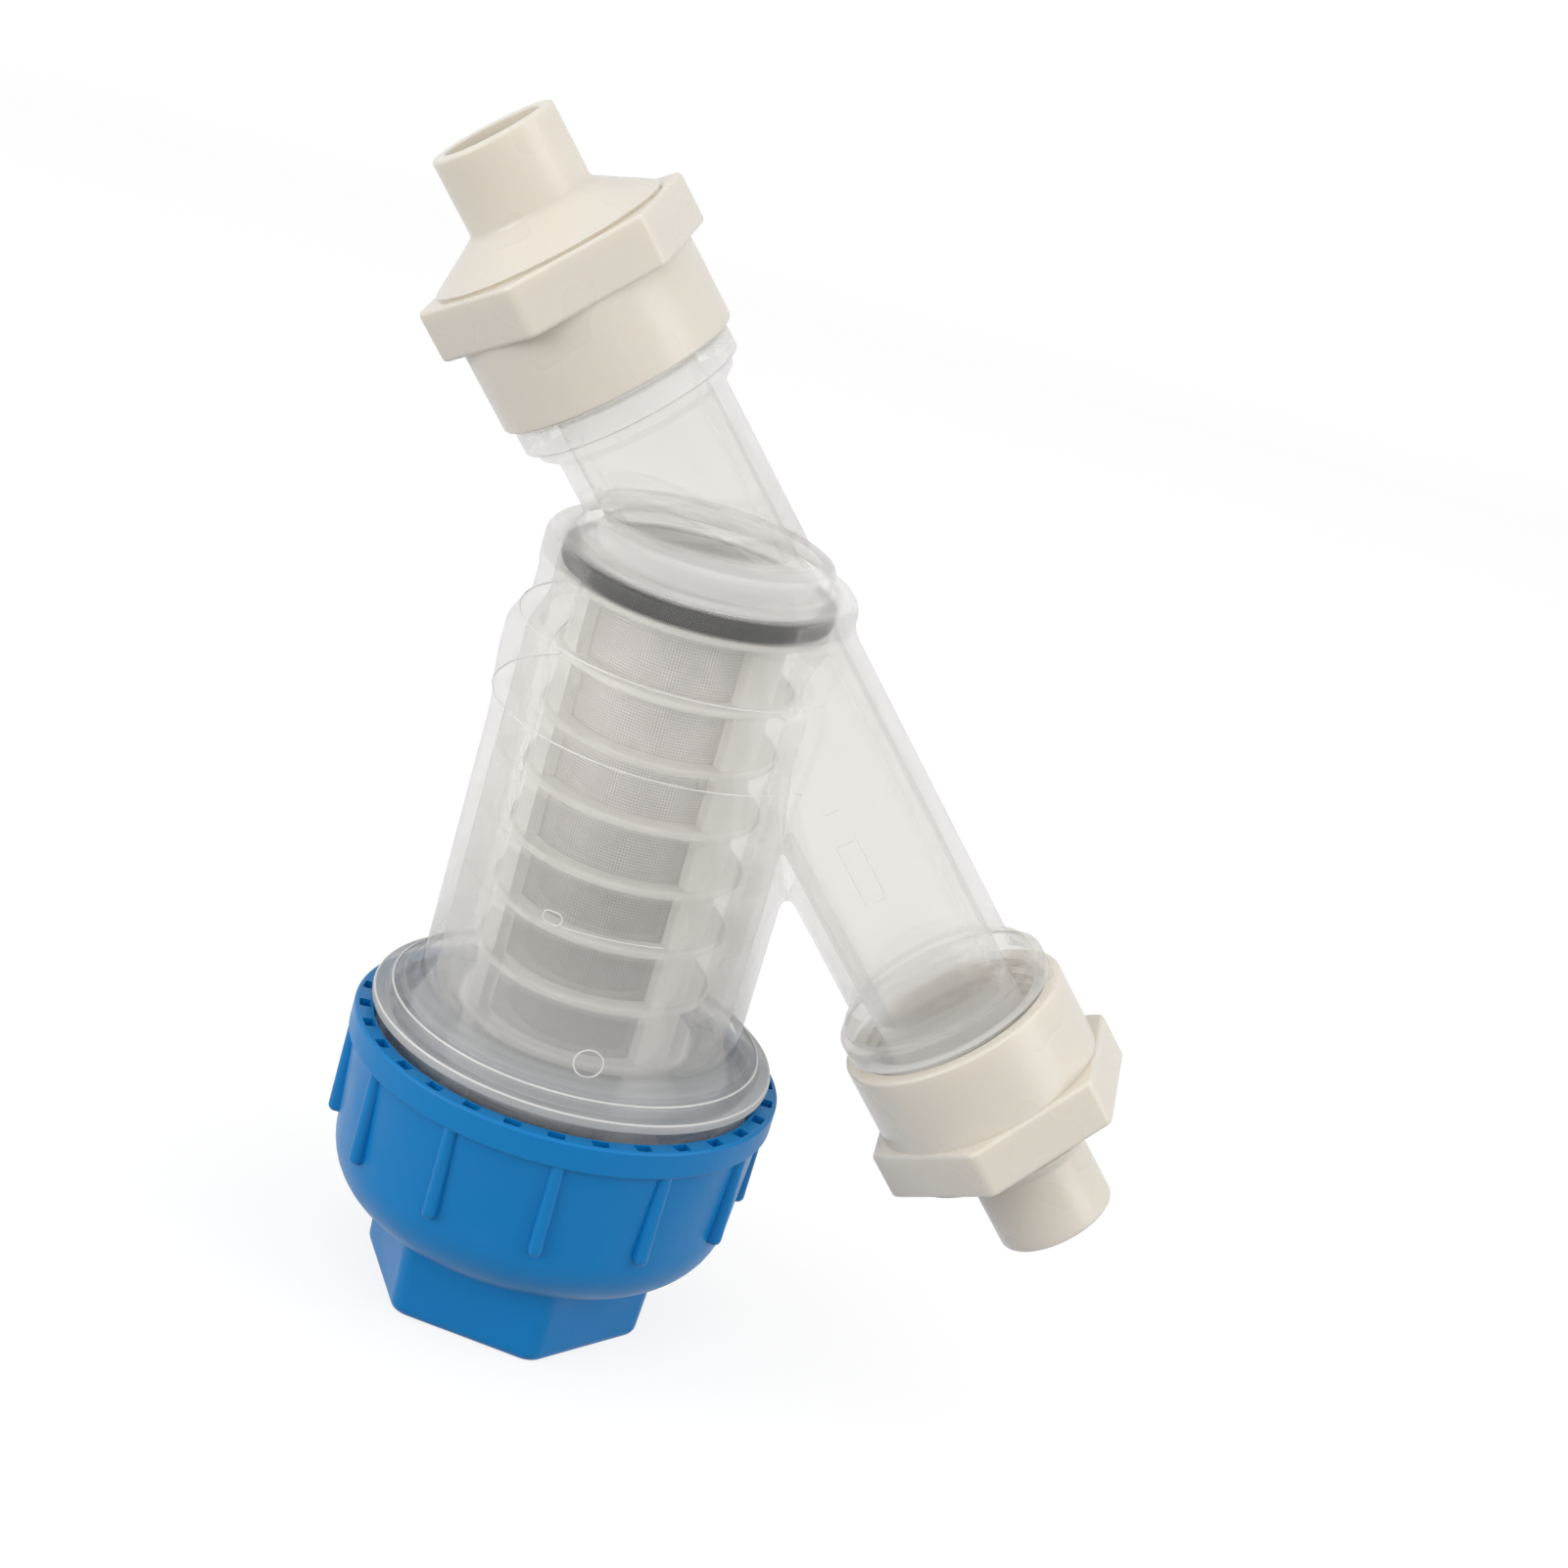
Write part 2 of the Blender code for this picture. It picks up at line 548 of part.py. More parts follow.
def ring_drops():
    """Drops of the upper faces of the cage's rings, as many as fit above its foot."""
    last = CAGE_FOOT_DROP - CAGE_FOOT_HEIGHT - 2 * CAGE_RING_THICKNESS
    drops = []
    drop = CAGE_FIRST_RING_DROP - CAGE_RING_THICKNESS / 2
    while drop + CAGE_RING_THICKNESS < last:
        drops.append(drop)
        drop += CAGE_RING_PITCH
    return drops


def cage_windows():
    """Wedges between the bars, one row between each two rings."""
    bm = bmesh.new()
    tops = [CAGE_FLANGE_DROP + CAGE_FLANGE_HEIGHT]
    tops += [drop + CAGE_RING_THICKNESS for drop in ring_drops()]
    ends = ring_drops() + [CAGE_FOOT_DROP - CAGE_FOOT_HEIGHT]
    inner = CAGE_BORE - SLEEVE_WALL
    outer = CAGE_BAR_RADIUS + SLEEVE_WALL
    span = 2 * pi / CAGE_BARS - CAGE_BAR_SPAN
    sides = round(SCREEN_SIDES * span / (2 * pi))
    for top, end in zip(tops, ends):
        for bar in range(CAGE_BARS):
            start = CAGE_BAR_TURN + CAGE_BAR_SPAN / 2 + bar * 2 * pi / CAGE_BARS
            section = [(inner, -top), (outer, -top), (outer, -end), (inner, -end)]
            turn(section, sides, bm, start, span)
    return bm


def make_cage():
    """The screen's white cage, which stands on the cap's floor."""
    cage = new_object("screen_cage", turn(hang(cage_outline()), SCREEN_SIDES))
    cage.location = CROSSING
    combine(cage, new_object("cage_windows_guide", cage_windows()), "DIFFERENCE")
    cage.data.materials.append(plain_material("milky plastic", (0.80, 0.80, 0.77), 0.45))
    return cage


def make_sleeve():
    """The woven steel sleeve inside the cage, held between its two lips."""
    top = CAGE_TOP_DROP + SLEEVE_LIP + GAP
    end = CAGE_FOOT_DROP - SLEEVE_LIP - GAP
    inner = SLEEVE_RADIUS - SLEEVE_WALL
    outline = [(inner, top), (SLEEVE_RADIUS, top), (SLEEVE_RADIUS, end), (inner, end)]
    sleeve = new_object("screen_mesh", turn(hang(outline), SCREEN_SIDES))
    sleeve.location = CROSSING
    sleeve.data.materials.append(plain_material("steel mesh", (0.42, 0.41, 0.39), 0.42, metallic=0.7))
    return sleeve


def make_screen_seal():
    """Dark ring round the cage's hub, pressed into the seat under the head."""
    inner = CAGE_HUB_RADIUS + GAP
    top = CAGE_TOP_DROP
    end = top + SCREEN_SEAL_HEIGHT
    edge = SCREEN_SEAL_EDGE
    outline = [(inner, top), (SCREEN_SEAL_RADIUS - edge, top), (SCREEN_SEAL_RADIUS, top + edge),
               (SCREEN_SEAL_RADIUS, end - edge), (SCREEN_SEAL_RADIUS - edge, end), (inner, end)]
    seal = new_object("screen_seal", turn(hang(outline), BODY_SIDES))
    seal.location = CROSSING
    seal.data.materials.append(plain_material("grey rubber", (0.06, 0.065, 0.065), 0.5))
    return seal


def fitting_shell():
    """Turned section of an end fitting: threaded skirt, cone and socket tube."""
    hex_end = SKIRT_LENGTH + FITTING_HEX_HEIGHT
    cone_foot = hex_end + GROOVE_WIDTH
    cone_top = cone_foot + CONE_HEIGHT
    mouth = cone_top + SOCKET_TUBE_LENGTH
    stop = mouth - SOCKET_DEPTH
    stop_bore = SOCKET_BORE_RADIUS - SOCKET_STOP_WIDTH
    edge = SKIRT_EDGE
    outline = [
        (SKIRT_BORE, 0),
        (SKIRT_RADIUS - edge, 0),
        (SKIRT_RADIUS, edge),
        (SKIRT_RADIUS, SKIRT_LENGTH + FITTING_HEX_HEIGHT / 2),
        (GROOVE_RADIUS, SKIRT_LENGTH + FITTING_HEX_HEIGHT / 2),
        (GROOVE_RADIUS, cone_foot),
        (CONE_RADIUS, cone_foot),
        (SOCKET_TUBE_RADIUS, cone_top),
        (SOCKET_TUBE_RADIUS, mouth - edge),
        (SOCKET_TUBE_RADIUS - edge, mouth),
        (SOCKET_BORE_RADIUS, mouth),
        (SOCKET_BORE_RADIUS, stop),
        (stop_bore, stop),
        (stop_bore, stop - SOCKET_STOP_LENGTH),
        (PIPE_BORE, SKIRT_BORE_DEPTH),
        (SKIRT_BORE, SKIRT_BORE_DEPTH),
    ]
    return turn(outline, FITTING_SIDES)


def fitting_hexagon(turn_by):
    """Spanner hexagon of a fitting, with its corners rounded and edges broken."""
    edge = FITTING_HEX_EDGE
    low = SKIRT_LENGTH
    high = SKIRT_LENGTH + FITTING_HEX_HEIGHT
    corner = FITTING_HEX_FLATS / 2 / cos(pi / 6)
    rings = []
    for height, inset in ((low, edge), (low + edge, 0), (high - edge, 0), (high, edge)):
        ring = hexagon(corner - inset, FITTING_HEX_CORNER, turn_by)
        rings.append([(point.x, point.y, height) for point in ring])
    return loft(rings)


def fitting_bore():
    """Everything that must stay open where the hexagon is added."""
    top = SKIRT_LENGTH + FITTING_HEX_HEIGHT + GROOVE_WIDTH
    inner = (SKIRT_BORE + GROOVE_RADIUS) / 2
    return turn([(0, SKIRT_LENGTH - GROOVE_WIDTH), (inner, SKIRT_LENGTH - GROOVE_WIDTH),
                 (inner, top), (0, top)], FITTING_SIDES)


def make_fitting(name, side, turn_by):
    """One reducing end fitting, screwed on to its spigot."""
    fitting = new_object(name, fitting_shell())
    collar = new_object(name + "_hexagon_guide", fitting_hexagon(turn_by))
    hollow = new_object(name + "_hollow_guide", fitting_bore())
    combine(collar, hollow, "DIFFERENCE")
    combine(fitting, collar, "UNION")
    start = Matrix.Translation((0, 0, face_distance(side) + SKIRT_GAP))
    fitting.matrix_world = Matrix.Translation(CROSSING) @ run_matrix(side) @ start
    fitting.data.materials.append(plain_material(name + " plastic", (0.80, 0.75, 0.66), 0.32))
    return fitting


def make_washer(name, side):
    """Flat rubber washer between the spigot's end and the fitting's inner step."""
    start = face_distance(side) + SPIGOT_LENGTH + GAP
    inner = PIPE_BORE + WASHER_MARGIN
    outer = SKIRT_BORE - WASHER_MARGIN
    end = WASHER_THICKNESS
    washer = new_object(name, turn([(inner, 0), (outer, 0), (outer, end), (inner, end)], FITTING_SIDES))
    place = Matrix.Translation((0, 0, start))
    washer.matrix_world = Matrix.Translation(CROSSING) @ run_matrix(side) @ place
    washer.data.materials.append(plain_material(name + " rubber", (0.03, 0.03, 0.032), 0.6))
    return washer


def main():
    clear_scene()
    make_body()
    make_cap()
    make_cap_seal()
    make_cage()
    make_sleeve()
    make_screen_seal()
    make_fitting("inlet_fitting", -1, FITTING_HEX_TURN_IN)
    make_washer("inlet_washer", -1)
    make_fitting("outlet_fitting", 1, FITTING_HEX_TURN_OUT)
    make_washer("outlet_washer", 1)


main()
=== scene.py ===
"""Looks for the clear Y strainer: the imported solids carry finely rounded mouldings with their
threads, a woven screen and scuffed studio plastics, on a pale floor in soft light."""

from math import atan2, ceil, cos, pi, radians, sin, tan

import bmesh
import bpy
import numpy as np
from bpy.props import FloatProperty, FloatVectorProperty, IntProperty, PointerProperty
from bpy.types import Operator, Panel, PropertyGroup
from mathutils import Matrix, Vector


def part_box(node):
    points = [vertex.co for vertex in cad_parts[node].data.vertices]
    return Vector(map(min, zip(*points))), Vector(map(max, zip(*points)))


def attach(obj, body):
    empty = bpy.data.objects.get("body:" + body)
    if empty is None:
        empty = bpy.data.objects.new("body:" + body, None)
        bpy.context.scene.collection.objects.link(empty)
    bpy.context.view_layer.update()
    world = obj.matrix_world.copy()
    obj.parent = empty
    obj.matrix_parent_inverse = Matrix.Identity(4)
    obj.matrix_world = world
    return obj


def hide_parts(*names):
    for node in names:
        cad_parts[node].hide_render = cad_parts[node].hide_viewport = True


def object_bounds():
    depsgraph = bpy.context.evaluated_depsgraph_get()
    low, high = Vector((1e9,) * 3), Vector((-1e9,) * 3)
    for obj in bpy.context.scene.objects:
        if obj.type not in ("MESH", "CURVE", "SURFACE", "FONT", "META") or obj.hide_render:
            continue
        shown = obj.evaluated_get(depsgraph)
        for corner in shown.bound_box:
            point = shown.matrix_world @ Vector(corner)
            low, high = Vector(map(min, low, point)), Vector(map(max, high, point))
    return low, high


bl_info = {
    "name": "Clear Y Strainer",
    "version": (1, 0, 0),
    "blender": (4, 5, 0),
    "location": "View3D > Sidebar > Strainer",
    "description": "Builds the mouldings, screen, seals and studio of a clear Y strainer",
    "category": "Object",
}

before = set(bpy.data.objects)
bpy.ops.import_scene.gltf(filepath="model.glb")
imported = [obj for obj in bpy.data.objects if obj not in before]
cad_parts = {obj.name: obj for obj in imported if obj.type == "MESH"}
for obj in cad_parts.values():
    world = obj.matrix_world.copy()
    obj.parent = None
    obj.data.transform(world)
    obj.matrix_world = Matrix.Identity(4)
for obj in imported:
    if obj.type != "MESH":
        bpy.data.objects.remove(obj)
CAD_LOW, CAD_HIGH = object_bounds()

MM = 0.001
TINY = 1e-7
SHARP_FROM = radians(38.0)
OUTLET = 1
INLET = -1
ENDS = ((INLET, "inlet"), (OUTLET, "outlet"))
FIT_GAP = 0.3 * MM
CAP_SIDES = 192
BODY_SIDES = 160
RING_SIDES = 144
SCREEN_SIDES = 120
ARM_SIDES = 112
BORE_SIDES = 96


def length(name, millimetres, description):
    return FloatProperty(
        name=name, description=description, default=millimetres * MM,
        min=0.0, unit="LENGTH", precision=5)


def turn_angle(name, degrees_value, description):
    return FloatProperty(
        name=name, description=description, default=radians(degrees_value),
        subtype="ANGLE", unit="ROTATION")


def colour(name, value, description):
    return FloatVectorProperty(
        name=name, description=description, default=value,
        size=3, min=0.0, max=1.0, subtype="COLOR")


class StrainerBodySizes(PropertyGroup):
    crossing_height: length("Crossing height", 172.0, "Height where the two axes meet")
    branch_angle: turn_angle("Branch angle", 42.0, "Angle between the run and the chamber")
    boss_radius: length("Boss radius", 26.0, "Raised disc on the head")
    head_top: length("Head top", 2.9, "Top of the boss above the crossing")
    head_radius: length("Head radius", 32.4, "Outside of the head")
    chamber_radius: length("Chamber radius", 34.2, "Outside of the screen chamber")
    chamber_wall: length("Chamber wall", 3.0, "Wall of the screen chamber")
    belt_radius: length("Belt radius", 35.5, "Widest place above the chamber")
    flange_radius: length("Flange radius", 43.0, "Flange over the cap's rim")
    neck_radius: length("Neck radius", 39.0, "Root of the cap's thread")
    neck_bore: length("Neck bore", 34.6, "Inside of the threaded neck")
    neck_thread: length("Neck thread depth", 1.6, "Depth of the cap's thread")
    neck_pitch: length("Neck thread pitch", 5.0, "Advance of the cap in one turn")
    pipe_radius: length("Pipe radius", 18.4, "Outside of the pipe arms")
    pipe_bore: length("Pipe bore", 15.25, "Inside of the pipe arms")
    collar_radius: length("Collar radius", 23.3, "Collar behind each spigot")
    spigot_radius: length("Spigot radius", 19.5, "Root of the pipe thread")
    spigot_length: length("Spigot length", 16.5, "Length of each threaded spigot")
    pipe_thread: length("Pipe thread depth", 1.45, "Depth of the pipe thread")
    pipe_pitch: length("Pipe thread pitch", 2.309, "Advance of a fitting in one turn")
    inlet_face: length("Inlet face", 38.7, "Crossing to the inlet collar's face")
    outlet_face: length("Outlet face", 112.2, "Crossing to the outlet collar's face")
    inlet_fillet: length("Inlet fillet", 1.2, "Fillet between inlet arm and head")
    outlet_fillet: length("Outlet fillet", 3.4, "Fillet between outlet arm and chamber")


class StrainerCapSizes(PropertyGroup):
    rim_radius: length("Rim radius", 45.8, "Outside of the rim band")
    rim_height: length("Rim height", 6.1, "Height of the rim band")
    waist_radius: length("Waist radius", 43.1, "Cup below the ribs")
    hexagon_radius: length("Hexagon radius", 32.2, "Centre to corner of the hexagon")
    hexagon_height: length("Hexagon height", 18.0, "End face to the cup")
    rib_width: length("Rib width", 3.0, "Width of a grip rib")
    ribs: IntProperty(name="Ribs", description="Grip ribs round the cup", default=12)
    pockets: IntProperty(name="Pockets", description="Pockets in the rim", default=30)


class StrainerScreenSizes(PropertyGroup):
    sleeve_radius: length("Sleeve radius", 20.2, "Outside of the woven sleeve")
    ring_radius: length("Ring radius", 25.0, "Outside of the cage's rings")
    ring_pitch: length("Ring pitch", 13.3, "Distance between the rings")
    bar_thickness: length("Bar thickness", 2.9, "Radial thickness of the bars")
    bar_span: turn_angle("Bar span", 24.0, "Part of the circle that a bar fills")
    bar_turn: turn_angle("Bar turn", -44.0, "Where the first bar stands")
    wire_pitch: length("Wire pitch", 0.62, "Distance between two wires of the weave")


class StrainerFittingSizes(PropertyGroup):
    skirt_gap: length("Skirt gap", 1.2, "Collar face to the open end of the skirt")
    skirt_radius: length("Skirt radius", 24.9, "Outside of the threaded skirt")
    skirt_length: length("Skirt length", 17.9, "Open end to the hexagon")
    hexagon_flats: length("Hexagon flats", 51.0, "Across the flats of the hexagon")
    hexagon_height: length("Hexagon height", 10.8, "Height of the hexagon")
    cone_height: length("Cone height", 7.0, "Height of the cone")
    tube_radius: length("Tube radius", 13.0, "Outside of the socket tube")
    tube_length: length("Tube length", 16.4, "Length of the socket tube")
    socket_radius: length("Socket radius", 10.1, "Bore that takes the pipe")


class StrainerColours(PropertyGroup):
    clear: colour("Clear plastic", (0.97, 0.96, 0.94), "Tint of the clear body")
    blue: colour("Blue plastic", (0.002, 0.215, 0.56), "Screw cap")
    ivory: colour("Ivory plastic", (0.80, 0.745, 0.655), "End fittings")
    milky: colour("Milky plastic", (0.98, 0.965, 0.94), "Screen cage")
    steel: colour("Steel", (0.80, 0.775, 0.755), "Woven sleeve")
    rubber: colour("Rubber", (0.022, 0.022, 0.024), "Cap seal")
    # Painted light: the washers are pale to stand for the light inside the bores.
    washer: colour("Washer rubber", (0.34, 0.3, 0.255), "Worn flat washers")
    grey_rubber: colour("Grey rubber", (0.015, 0.016, 0.017), "Screen seal")
    floor: colour("Floor", (0.93, 0.93, 0.93), "Studio floor and backdrop")


# Outlines and turned surfaces

def rounded(corners, arc_steps=5):
    """Close an outline with rounded corners, given as (radius, height, rounding, spacing).

    The rounding is a corner's fillet, and the spacing cuts up the straight run after it.
    """
    count = len(corners)
    points = []
    for index, corner in enumerate(corners):
        here = Vector(corner[:2])
        rounding = corner[2] if len(corner) > 2 else 0.0
        spacing = corner[3] if len(corner) > 3 else 0.0
        to_last = Vector(corners[index - 1][:2]) - here
        to_next = Vector(corners[(index + 1) % count][:2]) - here
        arc = [here]
        if rounding > 0:
            opening = to_last.angle(to_next)
            reach = rounding / tan(opening / 2)
            reach = min(reach, 0.49 * to_last.length, 0.49 * to_next.length)
            radius = reach * tan(opening / 2)
            to_last.normalize()
            to_next.normalize()
            centre = here + (to_last + to_next).normalized() * (radius / sin(opening / 2))
            first = here + to_last * reach - centre
            last = here + to_next * reach - centre
            sweep = atan2(first.x * last.y - first.y * last.x, first.dot(last))
            steps = max(2, ceil(abs(sweep) / (pi / 2) * arc_steps))
            arc = [centre + Matrix.Rotation(sweep * k / steps, 2) @ first for k in range(steps + 1)]
        points += [(point, 0.0) for point in arc[:-1]]
        points.append((arc[-1], spacing))
    outline = []
    for index, (point, spacing) in enumerate(points):
        outline.append((point.x, point.y))
        after = points[(index + 1) % len(points)][0]
        parts = ceil((after - point).length / spacing) if spacing > 0 else 1
        outline += [tuple(point.lerp(after, k / parts)) for k in range(1, parts)]
    return outline


def ring_section(inner, outer, low, high, inner_rounding=0.0, outer_rounding=0.0, spacing=0.0):
    """Section of a plain ring, its walls cut up by the spacing."""
    return rounded([
        (inner, low, inner_rounding),
        (outer, low, outer_rounding, spacing),
        (outer, high, outer_rounding),
        (inner, high, inner_rounding, spacing),
    ])


def drops(corners):
    """Change drops below the crossing into heights."""
    return [(corner[0], -corner[1], *corner[2:]) for corner in corners]


def thread_on(root, low, high, pitch, depth, start=0.0, inside=False, steep=1.7):
    """Swelling of a right-handed thread on the part of a surface that is at its root."""
    def swell(radius, height, angles):
        if abs(radius - root) > 0.01 * MM or not low < height < high:
            return 0.0
        along = ((height + start) / pitch - angles / (2 * pi)) % 1.0
        ridge = np.clip((1 - np.abs(2 * along - 1)) * steep - (steep - 1) / 2, 0, 1)
        fade = min(1.0, (height - low) / pitch, (high - height) / pitch)
        return -depth * (1 - ridge) * fade if inside else depth * ridge * fade
    return swell


def turned(outline, sides, swell=None):
    """Points and faces of a closed outline turned about Z."""
    angles = np.arange(sides) * 2 * pi / sides
    across, along = np.cos(angles), np.sin(angles)
    points = []
    rows = []
    for radius, height in outline:
        if radius < TINY:
            rows.append([len(points)])
            points.append((0.0, 0.0, height))
            continue
        reach = radius + (swell(radius, height, angles) if swell else 0.0)
        rows.append(list(range(len(points), len(points) + sides)))
        heights = np.full(sides, height)
        points.extend(map(tuple, np.column_stack((reach * across, reach * along, heights))))
    faces = []
    for row, after in zip(rows, rows[1:] + rows[:1]):
        for k in range(sides):
            n = (k + 1) % sides
            if len(row) > 1 and len(after) > 1:
                faces.append((row[k], row[n], after[n], after[k]))
            elif len(row) > 1:
                faces.append((row[k], row[n], after[0]))
            elif len(after) > 1:
                faces.append((row[0], after[n], after[k]))
    return points, faces


def stacked(rings):
    """Points and faces of a stack of equal rings, closed at both ends."""
    count = len(rings[0])
    points = [tuple(point) for ring in rings for point in ring]
    faces = [tuple(reversed(range(count)))]
    for level in range(len(rings) - 1):
        base = level * count
        for k in range(count):
            n = (k + 1) % count
            faces.append((base + k, base + n, base + count + n, base + count + k))
    faces.append(tuple(range((len(rings) - 1) * count, len(rings) * count)))
    return points, faces


def merged(shapes):
    """Several separate shapes as one list of points and faces."""
    points, faces = [], []
    for more_points, more_faces in shapes:
        base = len(points)
        points += [tuple(point) for point in more_points]
        faces += [tuple(base + k for k in face) for face in more_faces]
    return points, faces


def new_piece(name, shape, place=None):
    """Make an object from points and faces, with outward faces."""
    points, faces = shape
    mesh = bpy.data.meshes.new(name)
    mesh.from_pydata(points, [], faces)
    if place:
        mesh.transform(place)
    bm = bmesh.new()
    bm.from_mesh(mesh)
    bmesh.ops.remove_doubles(bm, verts=bm.verts, dist=0.001 * MM)
    bmesh.ops.recalc_face_normals(bm, faces=bm.faces)
    bm.to_mesh(mesh)
    bm.free()
    piece = bpy.data.objects.new(name, mesh)
    bpy.context.scene.collection.objects.link(piece)
    return piece


def bake(piece):
    """Turn a piece's modifier into its own mesh."""
    evaluated = piece.evaluated_get(bpy.context.evaluated_depsgraph_get())
    mesh = bpy.data.meshes.new_from_object(evaluated)
    piece.modifiers.clear()
    old = piece.data
    piece.data = mesh
    bpy.data.meshes.remove(old)
    mesh.name = piece.name


def combine(piece, tool, operation):
    """Join, cut or intersect with a second solid, which is used up."""
    modifier = piece.modifiers.new(operation, "BOOLEAN")
    modifier.operation = operation
    modifier.solver = "MANIFOLD"
    modifier.object = tool
    bake(piece)
    bpy.data.objects.remove(tool, do_unlink=True)


def smooth(piece):
    """Shade softly, with real edges kept and broad faces left flat."""
    piece.data.shade_smooth()
    piece.data.set_sharp_from_angle(angle=SHARP_FROM)
    weights = piece.modifiers.new("broad faces stay flat", "WEIGHTED_NORMAL")
    weights.keep_sharp = True
    bake(piece)


def dress(piece, body, node, material):
    """Give a finished piece soft shading and its material, put it under its body and hide the solid
    that it stands for.
    """
    smooth(piece)
    piece.data.materials.clear()
    piece.data.materials.append(material)
    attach(piece, body)
    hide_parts(node)


# Distances, used to round the creases between joined solids

def turned_distance(outline, place):
    """Signed distance from a turned solid, negative inside."""
    inverse = np.array(place.inverted())
    ends = np.array(outline)
    starts = np.roll(ends, 1, axis=0)
    on_axis = (ends[:, 0] < TINY) & (starts[:, 0] < TINY)

    def distance(points):
        local = points @ inverse[:3, :3].T + inverse[:3, 3]
        spot = np.column_stack((np.hypot(local[:, 0], local[:, 1]), local[:, 2]))
        nearest = np.full(len(spot), 1e9)
        inside = np.zeros(len(spot), bool)
        for start, end, skip in zip(starts, ends, on_axis):
            rise = end[1] - start[1]
            if rise:
                share = (spot[:, 1] - start[1]) / rise
                crossed = (start[1] <= spot[:, 1]) != (end[1] <= spot[:, 1])
                inside ^= crossed & (spot[:, 0] < start[0] + share * (end[0] - start[0]))
            if skip:
                continue
            run = end - start
            share = np.clip((spot - start) @ run / max(run @ run, 1e-18), 0, 1)
            gap = spot - start - share[:, None] * run
            nearest = np.minimum(nearest, np.hypot(gap[:, 0], gap[:, 1]))
        return np.where(inside, -nearest, nearest)
    return distance


def hexagon_distance(radius, rounding, turn_by, top):
    """Signed distance from an upright rounded hexagon below a height."""
    flat = radius * cos(pi / 6) - rounding
    side = Vector((-cos(pi / 6), 0.5))

    def distance(points):
        spin = -turn_by - pi / 6
        x = np.abs(points[:, 0] * sin(spin) + points[:, 1] * cos(spin))
        y = np.abs(points[:, 0] * cos(spin) - points[:, 1] * sin(spin))
        fold = 2 * np.minimum(side.x * x + side.y * y, 0)
        x = x - fold * side.x
        y = y - fold * side.y
        x = x - np.clip(x, -flat / 3 ** 0.5, flat / 3 ** 0.5)
        y = y - flat
        around = np.hypot(x, y) * np.sign(y) - rounding
        return np.maximum(around, points[:, 2] - top)
    return distance


def either(distances):
    """Signed distance from two solids together."""
    return lambda points: np.minimum(distances[0](points), distances[1](points))


def even_fillet(radius):
    """A fillet that is the same all along a crease."""
    return lambda points: np.full(len(points), radius)


def round_crease(piece, first, second, fillet):
    """Move the points beside the crease of two joined solids on to a round fillet."""
    mesh = piece.data
    points = np.empty(len(mesh.vertices) * 3)
    mesh.vertices.foreach_get("co", points)
    points = points.reshape(-1, 3)

    def joined(spots, radii):
        a, b = first(spots), second(spots)
        near = np.hypot(np.maximum(radii - a, 0), np.maximum(radii - b, 0))
        return np.maximum(radii, np.minimum(a, b)) - near

    radii = fillet(points)
    a, b = first(points), second(points)
    skin = 0.06 * MM
    chosen = (np.minimum(a, b) > -skin) & (np.minimum(a, b) < skin) & (np.maximum(a, b) < radii)
    spots, radii = points[chosen], radii[chosen]
    step = 0.02 * MM
    for _ in range(6):
        value = joined(spots, radii)
        slope = np.empty_like(spots)
        for axis in range(3):
            shift = np.zeros(3)
            shift[axis] = step
            rise = joined(spots + shift, radii) - joined(spots - shift, radii)
            slope[:, axis] = rise / (2 * step)
        steepness = np.maximum((slope ** 2).sum(axis=1), 0.2)
        spots = spots - slope * (value / steepness)[:, None]
    points[chosen] = spots
    mesh.vertices.foreach_set("co", points.ravel())
    mesh.update()


# Places in the frame

def crossing():
    return Matrix.Translation((0, 0, bpy.context.scene.strainer_body.crossing_height))


def along_run(side):
    """Crossing with Z along the pipe run, outwards on that side."""
    angle = bpy.context.scene.strainer_body.branch_angle
    return crossing() @ Matrix.Rotation(pi - angle if side == OUTLET else -angle, 4, "Y")


def face_distance(side):
    """Crossing to the face of the collar on that side."""
    s = bpy.context.scene.strainer_body
    return s.outlet_face if side == OUTLET else s.inlet_face


def spigot_thread(side):
    """Male pipe thread of one spigot."""
    s = bpy.context.scene.strainer_body
    face = face_distance(side)
    return thread_on(s.spigot_radius, face + 0.4 * MM, face + s.spigot_length,
                     s.pipe_pitch, s.pipe_thread)


# Materials

def feed(node, **inputs):
    """Set or link what goes into a node.

    An input is named by its label, or by the letter i and its number.
    """
    for key, value in inputs.items():
        label = int(key[1:]) if key[1:].isdigit() else key.replace("_", " ")
        socket = node.inputs[label]
        if isinstance(value, bpy.types.NodeSocket):
            node.id_data.links.new(value, socket)
        else:
            socket.default_value = value


def node_adder(tree):
    """A function that adds a shader node, sets it up and feeds it."""
    def add(kind, settings=None, **inputs):
        node = tree.nodes.new("ShaderNode" + kind)
        for key, value in (settings or {}).items():
            setattr(node, key, value)
        feed(node, **inputs)
        return node
    return add


def chosen_colour(name):
    """One of the strainer's colours."""
    return tuple(getattr(bpy.context.scene.strainer_colours, name))


def worked(add, operation, first, second=0.0):
    return add("Math", {"operation": operation}, i0=first, i1=second).outputs[0]


def ranged(add, value, low, high, first=0.0, last=1.0, soft=False):
    """Carry a value over from one range to another, and stop at the ends."""
    kind = {"interpolation_type": "SMOOTHSTEP" if soft else "LINEAR"}
    return add("MapRange", kind, i0=value, i1=low, i2=high, i3=first, i4=last).outputs[0]


def mixed_colour(add, share, first, second, mode="MIX"):
    kind = {"data_type": "RGBA", "blend_type": mode}
    return add("Mix", kind, i0=share, i6=first, i7=second).outputs[2]


